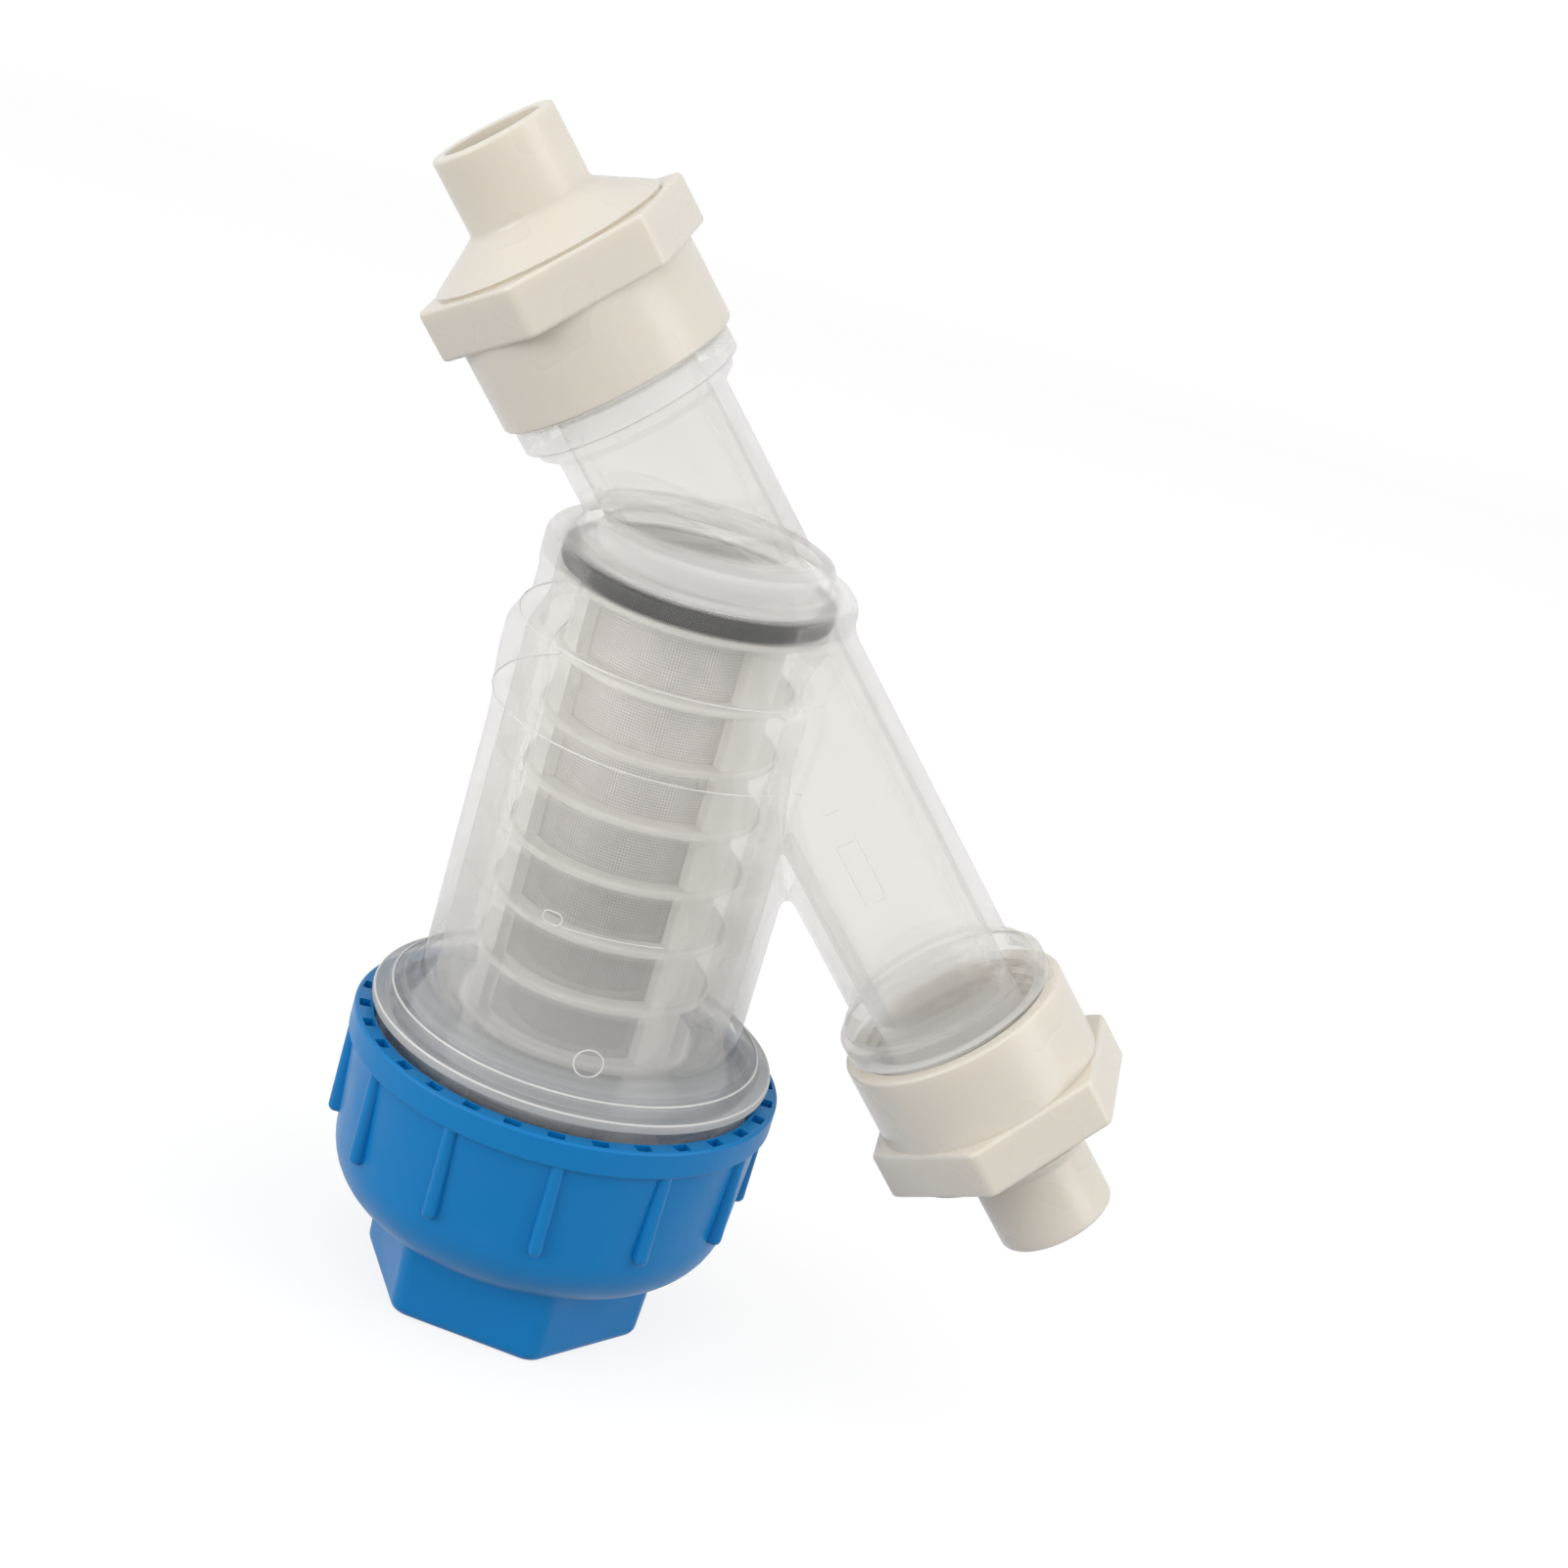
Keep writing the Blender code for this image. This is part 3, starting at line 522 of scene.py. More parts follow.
def start_material(name, base, roughness):
    """A material with one Principled shader, and a function that adds nodes to it."""
    material = bpy.data.materials.new(name)
    material.use_nodes = True
    shader = material.node_tree.nodes["Principled BSDF"]
    feed(shader, Base_Color=(*base, 1), Roughness=roughness)
    return material, shader, node_adder(material.node_tree)


def show(node):
    """Make a node the surface of its material."""
    feed(node.id_data.nodes["Material Output"], Surface=node.outputs[0])


def show_open_to_lamps(add, node, tint):
    """Make a node the surface, but let the lamps' light through with a tint."""
    lamps = add("LightPath").outputs["Is Shadow Ray"]
    clear = add("BsdfTransparent", Color=(*tint, 1))
    show(add("MixShader", i0=lamps, i1=node.outputs[0], i2=clear.outputs[0]))


def shaded(add, shader, base, spread, patch_scale):
    """Cloudy variation of a base colour, as in moulded plastic."""
    spot = add("TexCoord").outputs["Object"]
    cloud = add("TexNoise", Vector=spot, Scale=patch_scale, Detail=1.0).outputs["Fac"]
    dark = [max(0.0, c * (1 - spread)) for c in base]
    light = [min(1.0, c * (1 + spread)) for c in base]
    feed(shader, Base_Color=mixed_colour(add, cloud, (*dark, 1), (*light, 1)))
    return spot


def uneven(add, shader, spot, low, high, scale):
    """Roughness that wanders between two values."""
    cloud = add("TexNoise", Vector=spot, Scale=scale, Detail=1.0).outputs["Fac"]
    feed(shader, Roughness=ranged(add, cloud, 0.35, 0.65, low, high))


def grained(add, shader, spot, scale, distance):
    """Fine surface grain."""
    grain = add("TexNoise", Vector=spot, Scale=scale, Detail=2.0).outputs["Fac"]
    bump = add("Bump", Height=grain, Strength=0.5, Distance=distance)
    feed(shader, Normal=bump.outputs[0])


MOST_MILK = 2.0


def milkiness(add, spot, height):
    """Milk in the moulding, from none in its walls to most in head, foot, flange and collars."""
    s = bpy.context.scene.strainer_body
    outwards = along_run(OUTLET).to_3x3() @ Vector((0, 0, 1))
    middle = (0, 0, s.crossing_height)
    from_crossing = add("VectorMath", {"operation": "SUBTRACT"}, i0=spot, i1=middle).outputs[0]
    dot = add("VectorMath", {"operation": "DOT_PRODUCT"}, i0=from_crossing, i1=outwards)
    along = dot.outputs[1]
    edge = 1 * MM
    milk = ranged(add, height, 73 * MM, 112 * MM, 0.8, 0.0, soft=True)
    for place, low, high, depth in (
            (height, s.crossing_height - 3 * MM, s.crossing_height + 3.5 * MM, 1.5),
            (height, 61 * MM, 68.5 * MM, 0.6),
            (along, s.outlet_face - 6 * MM, 1.0, 0.6),
            (along, -1.0, 6 * MM - s.inlet_face, 0.9)):
        above = ranged(add, place, low - edge, low + edge, 0.0, depth, soft=True)
        below = ranged(add, place, high - edge, high + edge, 1.0, 0.0, soft=True)
        milk = worked(add, "ADD", milk, worked(add, "MULTIPLY", above, below))
    return milk


def clear_plastic():
    """Clear moulded plastic, mostly seen straight through and partly bent, open to the lamps.

    It has a little milk in it and fine scratches. Painted shade greys it at the flange, the neck
    below and its outline.
    """
    tint = chosen_colour("clear")
    material, shader, add = start_material("clear milky plastic", tint, 0.12)
    feed(shader, IOR=1.25, Specular_Tint=(1, 0.99, 0.975, 1))
    spot = add("TexCoord").outputs["Object"]
    height = add("SeparateXYZ", i0=spot).outputs[2]
    milk = milkiness(add, spot, height)
    cloud = add("TexNoise", Vector=spot, Scale=40.0, Detail=1.0).outputs["Fac"]
    feed(shader, Roughness=ranged(add, cloud, 0.35, 0.65, 0.08, 0.14))
    # Painted shade: the colour greys from the flange's top down, for the dim cap seen through the
    # flange and neck.
    above_painted_flange_shade = ranged(add, height, 66 * MM, 74 * MM, soft=True)
    grey = (0.66, 0.675, 0.69, 1)
    feed(shader, Base_Color=mixed_colour(add, above_painted_flange_shade, grey, (*tint, 1)))
    facing = add("LayerWeight", Blend=0.5).outputs["Facing"]
    clearness = ranged(add, worked(add, "POWER", facing, 3.0), 0.0, 1.0, 0.82, 0.68)
    patchy = worked(add, "MULTIPLY", clearness, ranged(add, cloud, 0.3, 0.7, 0.97, 1.03))
    less = ranged(add, milk, 0.0, MOST_MILK, 1.0, 0.16)
    feed(shader, Transmission_Weight=worked(add, "MULTIPLY", patchy, less))
    scratch_field = add("Mapping", Vector=spot, Scale=(900.0, 900.0, 60.0)).outputs[0]
    scratches = add("TexNoise", Vector=scratch_field, Scale=1.0, Detail=0.0).outputs["Fac"]
    rare = ranged(add, scratches, 0.66, 0.72)
    bump = add("Bump", Height=rare, Strength=0.3, Distance=0.03 * MM)
    feed(shader, Normal=bump.outputs[0])
    # Painted shade: what is seen straight through greys at grazing angles, for the dark edge that
    # bent light gives a wall's outline.
    outline = worked(add, "POWER", facing, 7.0)
    seen_through_with_painted_edge_shade = mixed_colour(add, outline, (0.956, 0.951, 0.941, 1), (0.8, 0.8, 0.8, 1))
    straight = add("BsdfTransparent", Color=seen_through_with_painted_edge_shade)
    share = ranged(add, milk, 0.0, MOST_MILK, 0.3, 0.7)
    wall = add("MixShader", i0=share, i1=straight.outputs[0], i2=shader.outputs[0])
    show_open_to_lamps(add, wall, (0.985, 0.98, 0.975))
    return material


def marks_and_painted_highlights_plastic():
    """The clear plastic where a mould mark stands proud: glossy, with more milk in it. Its
    whiteness is partly the mark's own and, on the steps and flange edges, painted highlight.
    """
    tint = chosen_colour("clear")
    material, shader, add = start_material("clear plastic at a mould mark", tint, 0.16)
    feed(shader, Transmission_Weight=0.45)
    spot = shaded(add, shader, tint, 0.03, 60.0)
    uneven(add, shader, spot, 0.12, 0.2, 90.0)
    show_open_to_lamps(add, shader, (0.9, 0.9, 0.89))
    return material


def blue_plastic():
    base = chosen_colour("blue")
    material, shader, add = start_material("moulded blue plastic", base, 0.36)
    feed(shader, Specular_IOR_Level=0.28)
    spot = shaded(add, shader, base, 0.06, 24.0)
    uneven(add, shader, spot, 0.33, 0.42, 90.0)
    grained(add, shader, spot, 1600.0, 0.02 * MM)
    return material


def ivory_plastic():
    base = chosen_colour("ivory")
    material, shader, add = start_material("moulded ivory plastic", base, 0.3)
    feed(shader, Coat_Weight=0.25, Coat_Roughness=0.12, Subsurface_Weight=0.45,
         Subsurface_Scale=4.5 * MM, Subsurface_Radius=(1.0, 0.75, 0.5))
    spot = shaded(add, shader, base, 0.02, 30.0)
    uneven(add, shader, spot, 0.26, 0.36, 70.0)
    grained(add, shader, spot, 900.0, 0.02 * MM)
    return material


def milky_plastic():
    """Thin milky plastic that lets part of what is behind it through."""
    base = chosen_colour("milky")
    material, shader, add = start_material("milky cage plastic", base, 0.42)
    spot = shaded(add, shader, base, 0.03, 40.0)
    uneven(add, shader, spot, 0.38, 0.48, 80.0)
    grained(add, shader, spot, 700.0, 0.03 * MM)
    behind = add("BsdfTransparent", Color=(0.98, 0.975, 0.965, 1))
    show(add("MixShader", i0=0.52, i1=behind.outputs[0], i2=shader.outputs[0]))
    return material


def woven_steel():
    """Steel weave drawn round the sleeve, dark between its wires and darker towards its foot."""
    base = chosen_colour("steel")
    sizes = bpy.context.scene.strainer_screen
    material, shader, add = start_material("woven steel", base, 0.42)
    feed(shader, Metallic=0.25)
    spot = add("TexCoord").outputs["Object"]
    x, y, height = add("SeparateXYZ", i0=spot).outputs
    wires_round = sizes.sleeve_radius / sizes.wire_pitch * pi
    wires = []
    angle = worked(add, "ARCTAN2", y, x)
    for place, waves in ((angle, wires_round), (height, pi / sizes.wire_pitch)):
        wave = worked(add, "SINE", worked(add, "MULTIPLY", place, waves))
        wires.append(worked(add, "ABSOLUTE", wave))
    relief = ranged(add, worked(add, "MAXIMUM", *wires), 0.55, 0.98)
    cloud = add("TexNoise", Vector=spot, Scale=260.0, Detail=3.0).outputs["Fac"]
    dull, bright, hole = ((*[min(1.0, c * share) for c in base], 1)
                          for share in (0.82, 1.12, 0.5))
    weave = mixed_colour(add, relief, hole, mixed_colour(add, cloud, dull, bright))
    # Darker towards the foot, by height alone.
    darker_towards_foot = ranged(add, height, 60 * MM, 130 * MM, 0.22, 1.0)
    feed(shader, Base_Color=mixed_colour(add, 1.0, weave, darker_towards_foot, "MULTIPLY"))
    uneven(add, shader, spot, 0.36, 0.5, 200.0)
    bump = add("Bump", Height=relief, Strength=0.8, Distance=0.12 * MM)
    feed(shader, Normal=bump.outputs[0])
    return material


def rubber(name, base, low, high):
    material, shader, add = start_material(name, base, high)
    spot = shaded(add, shader, base, 0.25, 120.0)
    uneven(add, shader, spot, low, high, 150.0)
    grained(add, shader, spot, 500.0, 0.05 * MM)
    return material


# Clear body

CHAMBER_STEP = 1.3 * MM
SEAT_RADIUS = 28.6 * MM
SEAT_LEDGE_RADIUS = 22.6 * MM
SEAT_DROP = 4.7 * MM
THROAT_END = 18.0 * MM
NECK_LOW = 110.0 * MM
NECK_HIGH = 129.5 * MM
NECK_STEEP = 2.4


def chamber_outline(s):
    """Head, throat, belt, chamber, shoulder rings, flange and neck, as drops."""
    step = CHAMBER_STEP
    throat = s.head_radius - 0.4 * MM
    mould_line = 0.3 * MM
    return drops([
        (0, -s.head_top, 0, 2 * step),
        (s.boss_radius, -s.head_top, 1.5 * MM, step),
        (s.boss_radius, 1.9 * MM, 1.1 * MM, step),
        (s.head_radius, 1.9 * MM, 4.6 * MM, step),
        (s.head_radius, 10.1 * MM, 0.3 * MM),
        (throat, 10.6 * MM, 0.4 * MM, step),
        (throat, THROAT_END, 4.0 * MM, step),
        (33.35 * MM, 20.6 * MM, 0.1 * MM),
        (33.35 * MM + mould_line, 20.8 * MM, 0.1 * MM, step),
        (s.belt_radius, 24.4 * MM, 3.4 * MM, step),
        (s.belt_radius, 31.0 * MM, 9.0 * MM, step),
        (s.chamber_radius + 0.75 * MM, 38.1 * MM, 0.1 * MM),
        (s.chamber_radius + 0.4 * MM, 38.4 * MM, 0.1 * MM, step),
        (s.chamber_radius, 45.5 * MM, 9.0 * MM, step),
        (s.chamber_radius, 71.5 * MM, 0.05 * MM),
        (s.chamber_radius - 0.1 * MM, 71.65 * MM, 0.05 * MM),
        (s.chamber_radius - 0.1 * MM, 71.95 * MM, 0.05 * MM),
        (s.chamber_radius, 72.1 * MM, 0.05 * MM, step),
        (s.chamber_radius, 103.3 * MM, 1.6 * MM),
        (37.4 * MM, 104.0 * MM, 0.8 * MM),
        (37.6 * MM, 105.4 * MM, 0.5 * MM),
        (40.0 * MM, 105.6 * MM, 0.8 * MM),
        (40.3 * MM, 107.5 * MM, 0.4 * MM),
        (s.flange_radius, 107.7 * MM, 0.9 * MM),
        (s.flange_radius, NECK_LOW, 0.8 * MM),
        (s.neck_radius, NECK_LOW, 0.3 * MM, 0.5 * MM),
        (s.neck_radius, NECK_HIGH, 0.7 * MM),
        (0, NECK_HIGH),
    ])


def chamber_hollow_outline(s):
    """Domed head, screen seat and bore, open below, as drops."""
    step = CHAMBER_STEP
    roof = -0.3 * MM
    bore = s.chamber_radius - s.chamber_wall
    mouth = s.neck_bore + 0.9 * MM
    past_end = 134.0 * MM
    return drops([
        (0, roof, 0, 2 * step),
        (SEAT_LEDGE_RADIUS, roof, 1.6 * MM, step),
        (SEAT_LEDGE_RADIUS, SEAT_DROP, 0.4 * MM),
        (SEAT_RADIUS, SEAT_DROP, 0.5 * MM, step),
        (SEAT_RADIUS, THROAT_END, 4.0 * MM, step),
        (bore, 24.5 * MM, 4.0 * MM, step),
        (bore, 104.0 * MM, 3.0 * MM),
        (s.neck_bore, NECK_LOW, 3.0 * MM),
        (s.neck_bore, 128.6 * MM, 0.3 * MM),
        (mouth, NECK_HIGH, 0.3 * MM),
        (mouth, past_end),
        (0, past_end),
    ])


def arm_start(s, side):
    """How far inside the body an arm begins."""
    tilt = s.branch_angle
    reach = (s.pipe_radius * sin(tilt) - (s.head_top - 2.6 * MM)) / cos(tilt)
    return s.pipe_radius if side == OUTLET else -reach


def arm_outline(s, side):
    """Pipe arm with its bead, collar and spigot."""
    face = face_distance(side)
    start = arm_start(s, side)
    collar = face - 4.9 * MM
    bead = collar - 2.3 * MM
    end = face + s.spigot_length
    return [
        (0, start, 0, 3 * MM),
        (s.pipe_radius, start, 0, 1.0 * MM),
        (s.pipe_radius, bead - 2.0 * MM, 1.8 * MM),
        (21.2 * MM, bead + 0.2 * MM, 0.9 * MM),
        (21.5 * MM, collar, 0.4 * MM),
        (s.collar_radius, collar, 0.7 * MM),
        (s.collar_radius, face, 0.7 * MM),
        (s.spigot_radius, face, 0.2 * MM, 0.3 * MM),
        (s.spigot_radius, end, 0.6 * MM),
        (0, end),
    ]


def bore_outline(s, side):
    """Bore of an arm, widened at its mouth and cut a little past it."""
    start = arm_start(s, side)
    end = face_distance(side) + s.spigot_length
    past_end = end + 3.0 * MM
    mouth = s.pipe_bore + 0.8 * MM
    return [
        (0, start, 0, 3 * MM),
        (s.pipe_bore, start, 0, 1.0 * MM),
        (s.pipe_bore, end - 0.8 * MM, 0.3 * MM),
        (mouth, end, 0.3 * MM),
        (mouth, past_end),
        (0, past_end),
    ]


def raised_line(path, radius, thickness, closed):
    """Fine raised line on a round wall, along a path of (angle, height) spots."""
    sides = 8
    spots = [Vector((radius * cos(a), radius * sin(a), height)) for a, height in path]
    count = len(spots)
    points = []
    for k, spot in enumerate(spots):
        after = spots[(k + 1) % count] if closed else spots[min(k + 1, count - 1)]
        before = spots[k - 1] if closed else spots[max(k - 1, 0)]
        out = Vector((spot.x, spot.y, 0)).normalized()
        across = (after - before).cross(out).normalized()
        for m in range(sides):
            tube = 2 * pi * m / sides
            points.append(tuple(spot + thickness * (cos(tube) * out + sin(tube) * across)))
    faces = []
    for k in range(count if closed else count - 1):
        for m in range(sides):
            a, b = k * sides, ((k + 1) % count) * sides
            n = (m + 1) % sides
            faces.append((a + m, b + m, b + n, a + n))
    if not closed:
        faces.append(tuple(range(sides)))
        faces.append(tuple(range((count - 1) * sides, count * sides)))
    return points, faces


def round_loop(middle, height, wide, high, radius, corner):
    """Path round a small rounded rectangle on a wall of that radius."""
    path = []
    for turn, x, y in ((0, 1, 1), (1, -1, 1), (2, -1, -1), (3, 1, -1)):
        for step in range(9):
            angle = (turn + step / 8) * pi / 2
            across = x * (wide / 2 - corner) + corner * cos(angle)
            up = y * (high / 2 - corner) + corner * sin(angle)
            path.append((middle + across / radius, height + up))
    return path


def level_path(first, last, steps, height, rise=0.0):
    """Path round a wall between two angles in degrees, at a height that may rise."""
    return [(radians(first + (last - first) * k / steps), height + rise * k / steps)
            for k in range(steps + 1)]


def chamber_marks_and_painted_highlights(s):
    """Gate circle, slot outline and fine line of the chamber, and milky rings painted as highlights
    on its two steps and the flange's edges.
    """
    wall = s.chamber_radius
    gate = round_loop(radians(-85.0), -100.1 * MM, 6.0 * MM, 6.0 * MM, wall, 3.0 * MM)
    slot = round_loop(radians(-110.0), -72.3 * MM, 4.2 * MM, 2.6 * MM, wall, 1.25 * MM)
    line = level_path(-106.0, -71.0, 20, -73.4 * MM, 0.8 * MM)
    raised_lines = [(gate, wall, 0.18 * MM, True), (slot, wall, 0.14 * MM, True),
             (line, wall, 0.14 * MM, False)]
    # These rings on the steps and the flange's edges are painted highlights, whitened by their
    # milky plastic.
    for radius, drop in ((33.62 * MM, 20.8 * MM), (wall + 0.7 * MM, 38.2 * MM)):
        raised_lines.append((level_path(40.0, 320.0, 160, -drop), radius, 0.16 * MM, False))
    for radius, drop in ((42.6 * MM, 107.95 * MM), (39.35 * MM, 105.45 * MM)):
        raised_lines.append((level_path(0.0, 357.75, 159, -drop), radius, 0.26 * MM, True))
    return merged([raised_line(*mark) for mark in raised_lines])


def pipe_marks(s):
    """Slender outline on the outlet arm, with a short line beside it."""
    wall, proud = s.pipe_radius, 0.11 * MM
    plate = round_loop(radians(-89.0), 69.4 * MM, 4.6 * MM, 13.9 * MM, wall, 0.4 * MM)
    line = level_path(-95.0, -85.0, 8, 55.2 * MM)
    return merged([raised_line(plate, wall, proud, True), raised_line(line, wall, proud, False)])


class STRAINER_OT_clear_body(Operator):
    """Build the clear body: head, chamber, both arms, shoulder, flange, neck and threads"""

    bl_idname = "strainer.clear_body"
    bl_label = "Clear body"

    def execute(self, context):
        s = context.scene.strainer_body
        outer = rounded(chamber_outline(s))
        hollow = rounded(chamber_hollow_outline(s))
        neck = thread_on(s.neck_radius, 0.2 * MM - NECK_HIGH, -0.3 * MM - NECK_LOW, s.neck_pitch,
                         s.neck_thread, start=s.crossing_height, steep=NECK_STEEP)
        body = new_piece("clear_body", turned(outer, BODY_SIDES, neck), crossing())
        arm_far = []
        bore_far = []
        for side, _ in ENDS:
            arm = rounded(arm_outline(s, side))
            shape = turned(arm, ARM_SIDES, spigot_thread(side))
            combine(body, new_piece("arm", shape, along_run(side)), "UNION")
            arm_far.append(turned_distance(arm, along_run(side)))
        inside = turned(hollow, RING_SIDES)
        combine(body, new_piece("hollow", inside, crossing()), "DIFFERENCE")
        for side, _ in ENDS:
            bore = rounded(bore_outline(s, side))
            shape = turned(bore, BORE_SIDES)
            combine(body, new_piece("bore", shape, along_run(side)), "DIFFERENCE")
            bore_far.append(turned_distance(bore, along_run(side)))

        def fillet(points):
            share = np.clip((s.crossing_height - points[:, 2]) / (25 * MM), 0, 1)
            return s.inlet_fillet + (s.outlet_fillet - s.inlet_fillet) * share

        round_crease(body, turned_distance(outer, crossing()), either(arm_far), fillet)
        round_crease(body, turned_distance(hollow, crossing()), either(bore_far),
                     even_fillet(1.4 * MM))
        dress(body, "housing", "body", clear_plastic())
        # Milky raised lines: mould detail, and on the chamber's steps and flange edges, painted
        # highlights.
        milk = marks_and_painted_highlights_plastic()
        for name, shape, place in (("chamber_mould_marks", chamber_marks_and_painted_highlights(s), crossing()),
                                   ("outlet_mould_marks", pipe_marks(s), along_run(OUTLET))):
            dress(new_piece(name, shape, place), "housing", "body", milk)
        return {"FINISHED"}


# Blue cap

CAP_BORE = 40.9 * MM
LEDGE_HEIGHT = 38.8 * MM
CAP_RECESS = 41.8 * MM
CUP_FOOT_RADIUS = 31.0 * MM
CUP_DEPTH = 14.0 * MM
WAIST_HEIGHT = 32.0 * MM
FLOOR_RADIUS = 26.5 * MM
FLOOR_HEIGHT = 21.0 * MM
BOWL_WIDTH = 8.1 * MM
BOWL_DEPTH = 17.8 * MM
POCKET_RADIUS = 18.0 * MM
POCKET_FLOOR = 4.5 * MM
HEXAGON_ROUNDING = 4.2 * MM
HEXAGON_TURN = radians(-13.5)
HEXAGON_REACH = 19.5 * MM


def hexagon_ring(radius, rounding, turn_by, height):
    """Level ring of points of a hexagon with rounded corners."""
    arc_steps = 7
    inset = rounding / cos(pi / 6)
    ring = []
    for corner in range(6):
        middle = turn_by + corner * pi / 3
        for step in range(arc_steps + 1):
            angle = middle + (step / arc_steps - 0.5) * pi / 3
            x = (radius - inset) * cos(middle) + rounding * cos(angle)
            y = (radius - inset) * sin(middle) + rounding * sin(angle)
            ring.append((x, y, height))
    return ring


def broken_edge(size, steps):
    """Quarter-round edge, from its end face to the side, as (height, inset) levels."""
    return [(size * (1 - cos(k * pi / 2 / steps)), size * (1 - sin(k * pi / 2 / steps)))
            for k in range(steps + 1)]


def cap_hexagon(c):
    """Tapered hexagon, its end edge well rounded."""
    taper = 0.8 * MM
    levels = broken_edge(2.2 * MM, 6)
    levels += [(height * MM, 0) for height in (4, 8, 12, 16)]
    levels.append((HEXAGON_REACH, 0))
    rings = []
    for height, inset in levels:
        radius = c.hexagon_radius - taper * (1 - height / c.hexagon_height) - inset
        rings.append(hexagon_ring(radius, HEXAGON_ROUNDING, HEXAGON_TURN, height))
    return stacked(rings)


def cap_outline(c):
    """Section of the cup, waist, rim band, recess, thread bore and floor."""
    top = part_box("cap")[1].z
    rim_low = top - c.rim_height
    cup = [
        (POCKET_RADIUS, 15.0 * MM),
        (POCKET_RADIUS, c.hexagon_height, 0, 1.2 * MM),
        (CUP_FOOT_RADIUS, c.hexagon_height, 1.5 * MM),
    ]
    for k in range(1, 12):
        angle = radians(-90 + 90 * k / 12)
        reach = (c.waist_radius - CUP_FOOT_RADIUS) * cos(angle)
        cup.append((CUP_FOOT_RADIUS + reach, WAIST_HEIGHT + CUP_DEPTH * sin(angle)))
    cup += [
        (c.waist_radius, WAIST_HEIGHT, 0, 2 * MM),
        (44.3 * MM, rim_low, 0.3 * MM),
        (c.rim_radius, rim_low, 0.6 * MM, 1.5 * MM),
        (c.rim_radius, top, 0.6 * MM),
        (CAP_RECESS, top, 0.25 * MM),
        (CAP_RECESS, top - 2.6 * MM, 0.2 * MM),
        (CAP_BORE, top - 5.1 * MM, 0.2 * MM, 0.5 * MM),
        (CAP_BORE, LEDGE_HEIGHT, 0.2 * MM),
        (36.0 * MM, LEDGE_HEIGHT, 0.4 * MM),
    ]
    for k in range(10):
        angle = radians(-90 * k / 10)
        across, down = BOWL_WIDTH * cos(angle), BOWL_DEPTH * sin(angle)
        cup.append((FLOOR_RADIUS + across, LEDGE_HEIGHT + down))
    cup.append((FLOOR_RADIUS, FLOOR_HEIGHT))
    cup.append((POCKET_RADIUS, FLOOR_HEIGHT, 0.8 * MM))
    return cup


def pocket_plug():
    """Space of the dirt pocket, from its floor to above the cap's floor."""
    end = 22.0 * MM
    return rounded([
        (0, POCKET_FLOOR),
        (POCKET_RADIUS, POCKET_FLOOR, 1.5 * MM),
        (POCKET_RADIUS, end),
        (0, end),
    ])


def grip_rib(c, index):
    """One half-round rib from the rim band down to its round end."""
    half = c.rib_width / 2
    root, crown = 41.6 * MM, 45.6 * MM
    low = 32.4 * MM
    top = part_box("cap")[1].z - c.rim_height / 2
    place = Matrix.Rotation(radians(3.0) + index * 2 * pi / c.ribs, 4, "Z")
    rings = []
    levels = [(low + half * (1 - cos(k * pi / 10)), max(0.12, sin(k * pi / 10)))
              for k in range(1, 6)]
    levels.append((top, 1.0))
    for height, size in levels:
        lean = (crown - root) * (0.6 + 0.4 * size)
        ring = [(root, -half * size)]
        for k in range(9):
            angle = radians(-90 + 180 * k / 8)
            ring.append((root + lean - half * size * (1 - cos(angle)), half * size * sin(angle)))
        ring.append((root, half * size))
        rings.append([place @ Vector((x, y, height)) for x, y in ring])
    return stacked(rings)


def rim_pocket(c, index):
    """Pocket cut into the top of the rim band."""
    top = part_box("cap")[1].z
    low = top - 2.0 * MM
    place = Matrix.Rotation(radians(6.3) + index * 2 * pi / c.pockets, 4, "Z")
    inner, outer = 42.4 * MM, c.rim_radius - 1.0 * MM
    soft = 0.35 * MM
    rings = []
    for height, inset in ((low, soft), (low + soft, 0), (top + 0.5 * MM, 0)):
        half, end = 1.8 * MM - inset, outer - inset
        ring = [(inner, -half), (end - soft, -half), (end, soft - half),
                (end, half - soft), (end - soft, half), (inner, half)]
        rings.append([place @ Vector((x, y, height)) for x, y in ring])
    return stacked(rings)


class STRAINER_OT_cap(Operator):
    """Build the blue screw cap with its hexagon, ribs, rim pockets and inner thread"""

    bl_idname = "strainer.cap"
    bl_label = "Screw cap"

    def execute(self, context):
        c = context.scene.strainer_cap
        s = context.scene.strainer_body
        outline = rounded(cap_outline(c))
        inner = thread_on(CAP_BORE, 39.5 * MM, 54.0 * MM, s.neck_pitch, s.neck_thread,
                          inside=True, steep=NECK_STEEP)
        cap = new_piece("screw_cap", turned(outline, CAP_SIDES, inner))
        combine(cap, new_piece("hexagon", cap_hexagon(c)), "UNION")
        hexagon_far = hexagon_distance(c.hexagon_radius, HEXAGON_ROUNDING, HEXAGON_TURN,
                                       HEXAGON_REACH)
        round_crease(cap, turned_distance(outline, Matrix()), hexagon_far, even_fillet(0.9 * MM))
        plug = turned(pocket_plug(), BORE_SIDES)
        combine(cap, new_piece("dirt_pocket", plug), "DIFFERENCE")
        ribs = merged([grip_rib(c, k) for k in range(c.ribs)])
        combine(cap, new_piece("ribs", ribs), "UNION")
        pockets = merged([rim_pocket(c, k) for k in range(c.pockets)])
        combine(cap, new_piece("pockets", pockets), "DIFFERENCE")
        dress(cap, "cap", "cap", blue_plastic())
        return {"FINISHED"}


# Screen

